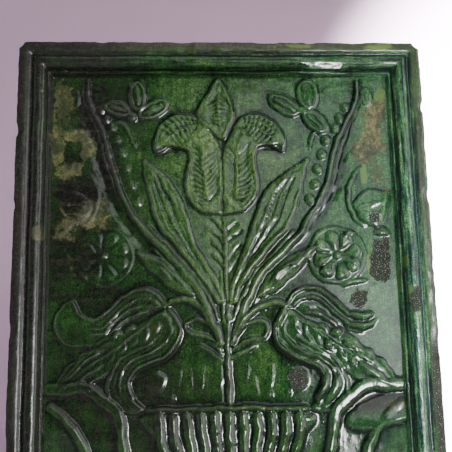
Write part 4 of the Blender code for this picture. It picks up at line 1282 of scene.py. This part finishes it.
def glaze_material():
    """Green lead glaze over red clay, aged: the masks say where it pools, thins, dulls or has gone, and
    where shade, light and glints are painted on it.
    """
    material = bpy.data.materials.new("green_glaze")
    n = Nodes(material)
    broad = n.speckle(24.0, 2.0)
    blotch = n.speckle(7.0, 4.0, 0.65)
    mottle = n.speckle(2.2, 4.0, 0.7)
    grain = n.speckle(0.55, 1.0, 0.6)
    speck = n.speckle(0.42, 0.0, 0.5)
    upright_streak = n.speckle(2.4, 4.0, 0.7, (1.0, 1.0, 0.10))
    level_streak = n.speckle(2.4, 4.0, 0.7, (0.10, 1.0, 1.0))
    pool_and_shade, crest, soot, painted_light = n.mask("pool_and_shade"), n.mask("crest"), n.mask("soot"), n.mask("painted_light")
    framed, band, right_side_painted_light, dull = n.mask("frame"), n.mask("band"), n.mask("right_side_painted_light"), n.mask("dull")
    streak = n.mix(n.mask("upright"), level_streak, upright_streak)

    # Thickness of the glaze, from 0 where it is thin to 1 where it stands, with painted shade at the feet
    # of the forms and painted light in the middle of the field added in
    uneven = n.total((broad, 0.30), (blotch, 0.55), (mottle, 0.60), (grain, 0.62),
                     (upright_streak, 0.60), -0.97)
    on_frame = n.product(framed, n.total((streak, 2.0), -0.88))
    thickness = n.total(uneven, on_frame, (pool_and_shade, 0.50), (crest, -0.04), (painted_light, -0.12), 0.18)
    glaze = n.ramp(thickness, (
        (0.02, (0.115, 0.185, 0.055)), (0.20, (0.050, 0.134, 0.028)), (0.40, (0.023, 0.085, 0.016)),
        (0.58, (0.011, 0.046, 0.010)), (0.80, (0.004, 0.017, 0.006)), (1.0, (0.0015, 0.006, 0.0030)),
    ))
    # Painted light: the middle of the field lightened
    glaze = n.tinted(painted_light, glaze, (2.40, 1.52, 2.05))
    # Painted light: the glaze lighter and bluer towards the right, more so on the right frame
    glaze = n.tinted(right_side_painted_light, glaze, (1.75, 1.80, 2.60))
    glaze = n.tinted(n.product(right_side_painted_light, framed), glaze, (1.6, 1.3, 1.5))
    # Painted reflection: a whitish haze lightening the right side and its frame
    pale = n.product(n.mask("pale"), n.total((blotch, 2.0), (streak, 0.8), -0.55), clamp=True)
    glaze = n.tinted(pale, glaze, (2.6, 2.3, 2.8))
    worn = n.mix(n.band(blotch, 0.46, 0.66), (0.055, 0.095, 0.032), (0.105, 0.060, 0.030))
    thin = n.product(crest, n.total((mottle, 1.0), (grain, 0.9), -0.45), clamp=True)
    glaze = n.mix(n.product(thin, 0.40), glaze, worn)
    # Painted shade: the glaze darkened along the bands of painted shade
    glaze = n.tinted(n.product(n.mask("shade"), 0.85), glaze, (0.16, 0.13, 0.20))
    darker = n.tinted(1.0, glaze, (0.62, 0.62, 0.62))
    lighter = n.tinted(1.0, glaze, (1.60, 1.55, 1.60))
    glaze = n.mix(n.band(speck, 0.30, 0.70), darker, lighter)

    # What lies on the glaze or has taken its place
    dark_brown = n.ramp(n.total((mottle, 0.7), (streak, 0.5), (speck, 0.4), -0.28), (
        (0.20, (0.003, 0.003, 0.004)), (0.48, (0.012, 0.012, 0.010)), (0.75, (0.050, 0.046, 0.034)),
    ))
    sooted = n.product(soot, n.total((blotch, 0.6), (mottle, 0.6), 0.30), clamp=True)
    ragged = n.total((blotch, 0.45), (mottle, 0.55))
    ochre = n.band(n.total(n.mask("ochre"), (ragged, 1.1)), 0.74, 1.42)
    ochre_colour = n.ramp(n.total((mottle, 1.3), (blotch, 1.5), (grain, 0.45), (speck, 0.3), -1.26), (
        (0.22, (0.014, 0.018, 0.006)), (0.50, (0.062, 0.076, 0.020)), (0.82, (0.230, 0.215, 0.085)),
    ))
    lime = n.band(n.total(n.mask("lime"), (ragged, 0.9)), 0.75, 1.30)
    grit = n.band(n.total(n.mask("grit"), (ragged, 0.4)), 0.50, 0.85)
    pits = n.band(n.total((grain, 0.5), (mottle, 0.5)), 0.38, 0.62)
    grit_and_glint_colour = n.mix(pits, (0.004, 0.005, 0.003), (0.040, 0.042, 0.028))
    # Painted glints: sparse white specks in the grit stand in for its sparkle
    grit_and_glint_colour = n.mix(n.band(speck, 0.725, 0.77), grit_and_glint_colour, (0.80, 0.80, 0.74))
    band_colour = n.ramp(n.total((mottle, 0.6), (grain, 0.6), (streak, 0.3), -0.25), (
        (0.20, (0.012, 0.016, 0.008)), (0.50, (0.052, 0.062, 0.030)), (0.85, (0.190, 0.190, 0.100)),
    ))
    bare = n.mask("bare")
    clay_colour = n.ramp(n.total((mottle, 0.7), (blotch, 0.9), (broad, 1.0), -0.80), (
        (0.10, (0.075, 0.042, 0.026)), (0.36, (0.170, 0.088, 0.048)), (0.60, (0.260, 0.142, 0.082)),
        (0.90, (0.360, 0.240, 0.160)),
    ))
    smoked = n.band(n.total((blotch, 0.5), (broad, 0.5)), 0.50, 0.70)
    clay_colour = n.mix(smoked, clay_colour, (0.050, 0.036, 0.028))
    glinting_flakes = n.product(n.mask("flake_glint"), n.total((mottle, 1.6), -0.2), clamp=True)

    colour = n.mix(n.product(band, n.total((ragged, 1.2), 0.05), clamp=True), glaze, band_colour)
    colour = n.mix(sooted, colour, dark_brown)
    colour = n.mix(n.product(ochre, n.total((soot, -0.55), 0.95)), colour, ochre_colour)
    colour = n.mix(n.product(lime, 0.70), colour, (0.150, 0.270, 0.050))
    colour = n.mix(n.product(grit, 0.9), colour, grit_and_glint_colour)
    # Painted highlights along the edges of chipped glaze
    colour = n.mix(glinting_flakes, colour, (0.26, 0.25, 0.11))
    colour = n.mix(bare, colour, clay_colour)
    n.link(colour, n.shader.inputs["Base Color"])

    # Gloss, with duller covers
    rough = n.total(
        0.045, (mottle, 0.05), (dull, 0.03), (n.product(framed, dull), 0.12), (ochre, 0.24),
        (grit, 0.72), (band, 0.04), (n.product(dull, crest), 0.34), (bare, 0.80),
        (n.product(bare, blotch), -0.30),
    )
    n.link(n.math("MINIMUM", rough, 0.92), n.shader.inputs["Roughness"])
    n.shader.inputs["IOR"].default_value = 1.47

    # The glaze's skin, coarser where it is gritty, worn or gone
    rough_roll = n.product(n.product(framed, right_side_painted_light), n.band(blotch, 0.42, 0.62))
    coarse = n.highest((grit, 0.9), (band, 0.6), (bare, 0.8), (rough_roll, 1.4))
    skin = n.total((blotch, 0.4), (mottle, 0.11), (grain, 0.05), (n.product(coarse, grain), 0.7))
    bump = n.tree.nodes.new("ShaderNodeBump")
    bump.inputs["Strength"].default_value = 0.20
    bump.inputs["Distance"].default_value = 0.0005
    n.link(skin, bump.inputs["Height"])
    n.link(bump.outputs["Normal"], n.shader.inputs["Normal"])
    return material


def plain_material(name, colour, roughness):
    """A plain matte finish for what the tile stands on and before."""
    material = bpy.data.materials.new(name)
    material.use_nodes = True
    shader = material.node_tree.nodes["Principled BSDF"]
    shader.inputs["Base Color"].default_value = (*colour, 1.0)
    shader.inputs["Roughness"].default_value = roughness
    return material


# The stage, the lights and the camera

def stage_sheet(name, colour, size, turn, place):
    """A large flat sheet: the floor or the backdrop."""
    shape = bmesh.new()
    bmesh.ops.create_grid(shape, x_segments=1, y_segments=1, size=size / 2)
    bmesh.ops.transform(shape, matrix=Matrix.Translation(place) @ turn, verts=shape.verts[:])
    mesh = bpy.data.meshes.new(name)
    shape.to_mesh(mesh)
    shape.free()
    sheet = bpy.data.objects.new(name, mesh)
    bpy.context.scene.collection.objects.link(sheet)
    sheet.data.materials.append(plain_material(name, colour, 0.9))


def lamp(name, light, place, aim, watts):
    """Puts a light at a place, facing its aim."""
    light.energy = watts
    holder = bpy.data.objects.new(name, light)
    holder.location = place
    holder.rotation_euler = (Vector(aim) - Vector(place)).to_track_quat("-Z", "Y").to_euler()
    bpy.context.scene.collection.objects.link(holder)
    return holder


def soft_light(name, place, aim, wide, high, watts, colour):
    """A rectangular softbox."""
    light = bpy.data.lights.new(name, "AREA")
    light.shape = "RECTANGLE"
    light.size = wide
    light.size_y = high
    light.color = colour
    lamp(name, light, place, aim, watts).visible_camera = False


def backdrop_light(name, place, aim, spread_degrees, watts):
    """A soft-edged spot on the backdrop's right side."""
    light = bpy.data.lights.new(name, "SPOT")
    light.spot_size = math.radians(spread_degrees)
    light.spot_blend = 0.35
    light.shadow_soft_size = 0.02
    lamp(name, light, place, aim, watts)


# The photograph's viewpoint: its lens, its turn about each axis in degrees, and the place of the
# tile's top middle before the camera, in millimetres, with X right, Y down and Z ahead
FOCAL_PIXELS = 905.0
IMAGE_PIXELS = 452.0
SENSOR_MM = 36.0
TURN_X, TURN_Y, TURN_Z = -12.93, -2.88, -0.40
TOP_MIDDLE = Vector((-2.6, -96.86, 473.86))


def photo_camera():
    """The camera at the photograph's viewpoint."""
    turn = Matrix.Rotation(math.radians(TURN_Z), 3, "Z")
    turn = turn @ Matrix.Rotation(math.radians(TURN_Y), 3, "Y")
    turn = turn @ Matrix.Rotation(math.radians(TURN_X), 3, "X")
    centre = -(turn.transposed() @ TOP_MIDDLE)

    def world_way(row):
        return Vector((row[0], row[2], -row[1]))

    right, below, ahead = (world_way(turn[i]) for i in range(3))
    place = Matrix((right, -below, -ahead)).transposed().to_4x4()
    place.translation = world_way(centre) * MM + Vector((0, world_y(0), world_z(0)))
    data = bpy.data.cameras.new("photo_camera")
    data.sensor_width = SENSOR_MM
    data.lens = FOCAL_PIXELS / IMAGE_PIXELS * SENSOR_MM
    camera = bpy.data.objects.new("photo_camera", data)
    camera.matrix_world = place
    bpy.context.scene.collection.objects.link(camera)
    bpy.context.scene.camera = camera


# The middle of the tile's face, and how far below the tile the floor lies, in metres
MIDDLE = (0.0, world_y(0), 0.11)
FLOOR_GAP = 0.0002


def direction(right_degrees, up_degrees, far):
    """A place seen from the tile's middle, some degrees to its right and up, at a distance ahead."""
    right, up = math.radians(right_degrees), math.radians(up_degrees)
    return (far * math.sin(right), MIDDLE[1] - far * math.cos(right), MIDDLE[2] + far * math.tan(up))


def studio():
    """The pale floor and backdrop, and the soft lights."""
    under_tile = (0, 0, tile_low.z - FLOOR_GAP)
    stage_sheet("pale_floor", (0.62, 0.60, 0.62), 8.0, Matrix.Identity(4), under_tile)
    upright = Matrix.Rotation(math.radians(90), 4, "X")
    stage_sheet("pale_backdrop", (0.51, 0.385, 0.48), 8.0, upright, (0, 1.3, 1.0))
    soft_light("low_window", direction(14.9, -1.3, 2.5), MIDDLE, 0.25, 0.145, 11.5, (1.0, 0.98, 1.0))
    soft_light("side_window", direction(20.5, 0.9, 2.5), MIDDLE, 0.11, 0.34, 12.5, (1.0, 0.98, 1.0))
    soft_light("window_wall", direction(20.0, 5.2, 2.4), MIDDLE, 0.9, 0.36, 5.2, (0.95, 0.96, 1.0))
    soft_light("high_wall", direction(9.5, 16.5, 2.4), MIDDLE, 0.72, 0.66, 3.1, (0.96, 0.98, 1.0))
    soft_light("ceiling", (0.7, -1.3, 1.9), MIDDLE, 2.4, 1.6, 13.0, (1.0, 0.97, 0.97))
    soft_light("left_wall", (-1.9, -1.3, 0.3), MIDDLE, 1.4, 1.8, 5.2, (0.95, 0.90, 1.0))
    soft_light("right_wall", (0.62, -0.50, 0.25), (0.10, 0, 0.15), 0.5, 0.6, 3.0, (1.0, 1.0, 1.0))
    soft_light("behind", (-0.3, 0.25, 0.5), (-0.3, 1.3, 0.6), 1.2, 1.2, 4.2, (1.0, 0.88, 0.98))
    backdrop_light("backdrop_glow", (1.07, 0.30, 0.45), (1.07, 1.3, 0.45), 84.0, 2500.0)
    world = bpy.data.worlds.new("studio_air")
    bpy.context.scene.world = world
    world.use_nodes = True
    air = world.node_tree.nodes["Background"]
    air.inputs["Color"].default_value = (0.60, 0.56, 0.62, 1)
    air.inputs["Strength"].default_value = 0.08


def build():
    """Makes the tile's two skins, its glaze and the studio."""
    relief = carve_relief()
    height = finished_height(relief)
    masks = sheet_masks(relief)
    glaze = glaze_material()
    for piece in (relief_piece(height, masks), body_piece(masks)):
        piece.data.materials.append(glaze)
        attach(piece, "root")
        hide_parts("stove_tile")
    studio()
    photo_camera()


build()
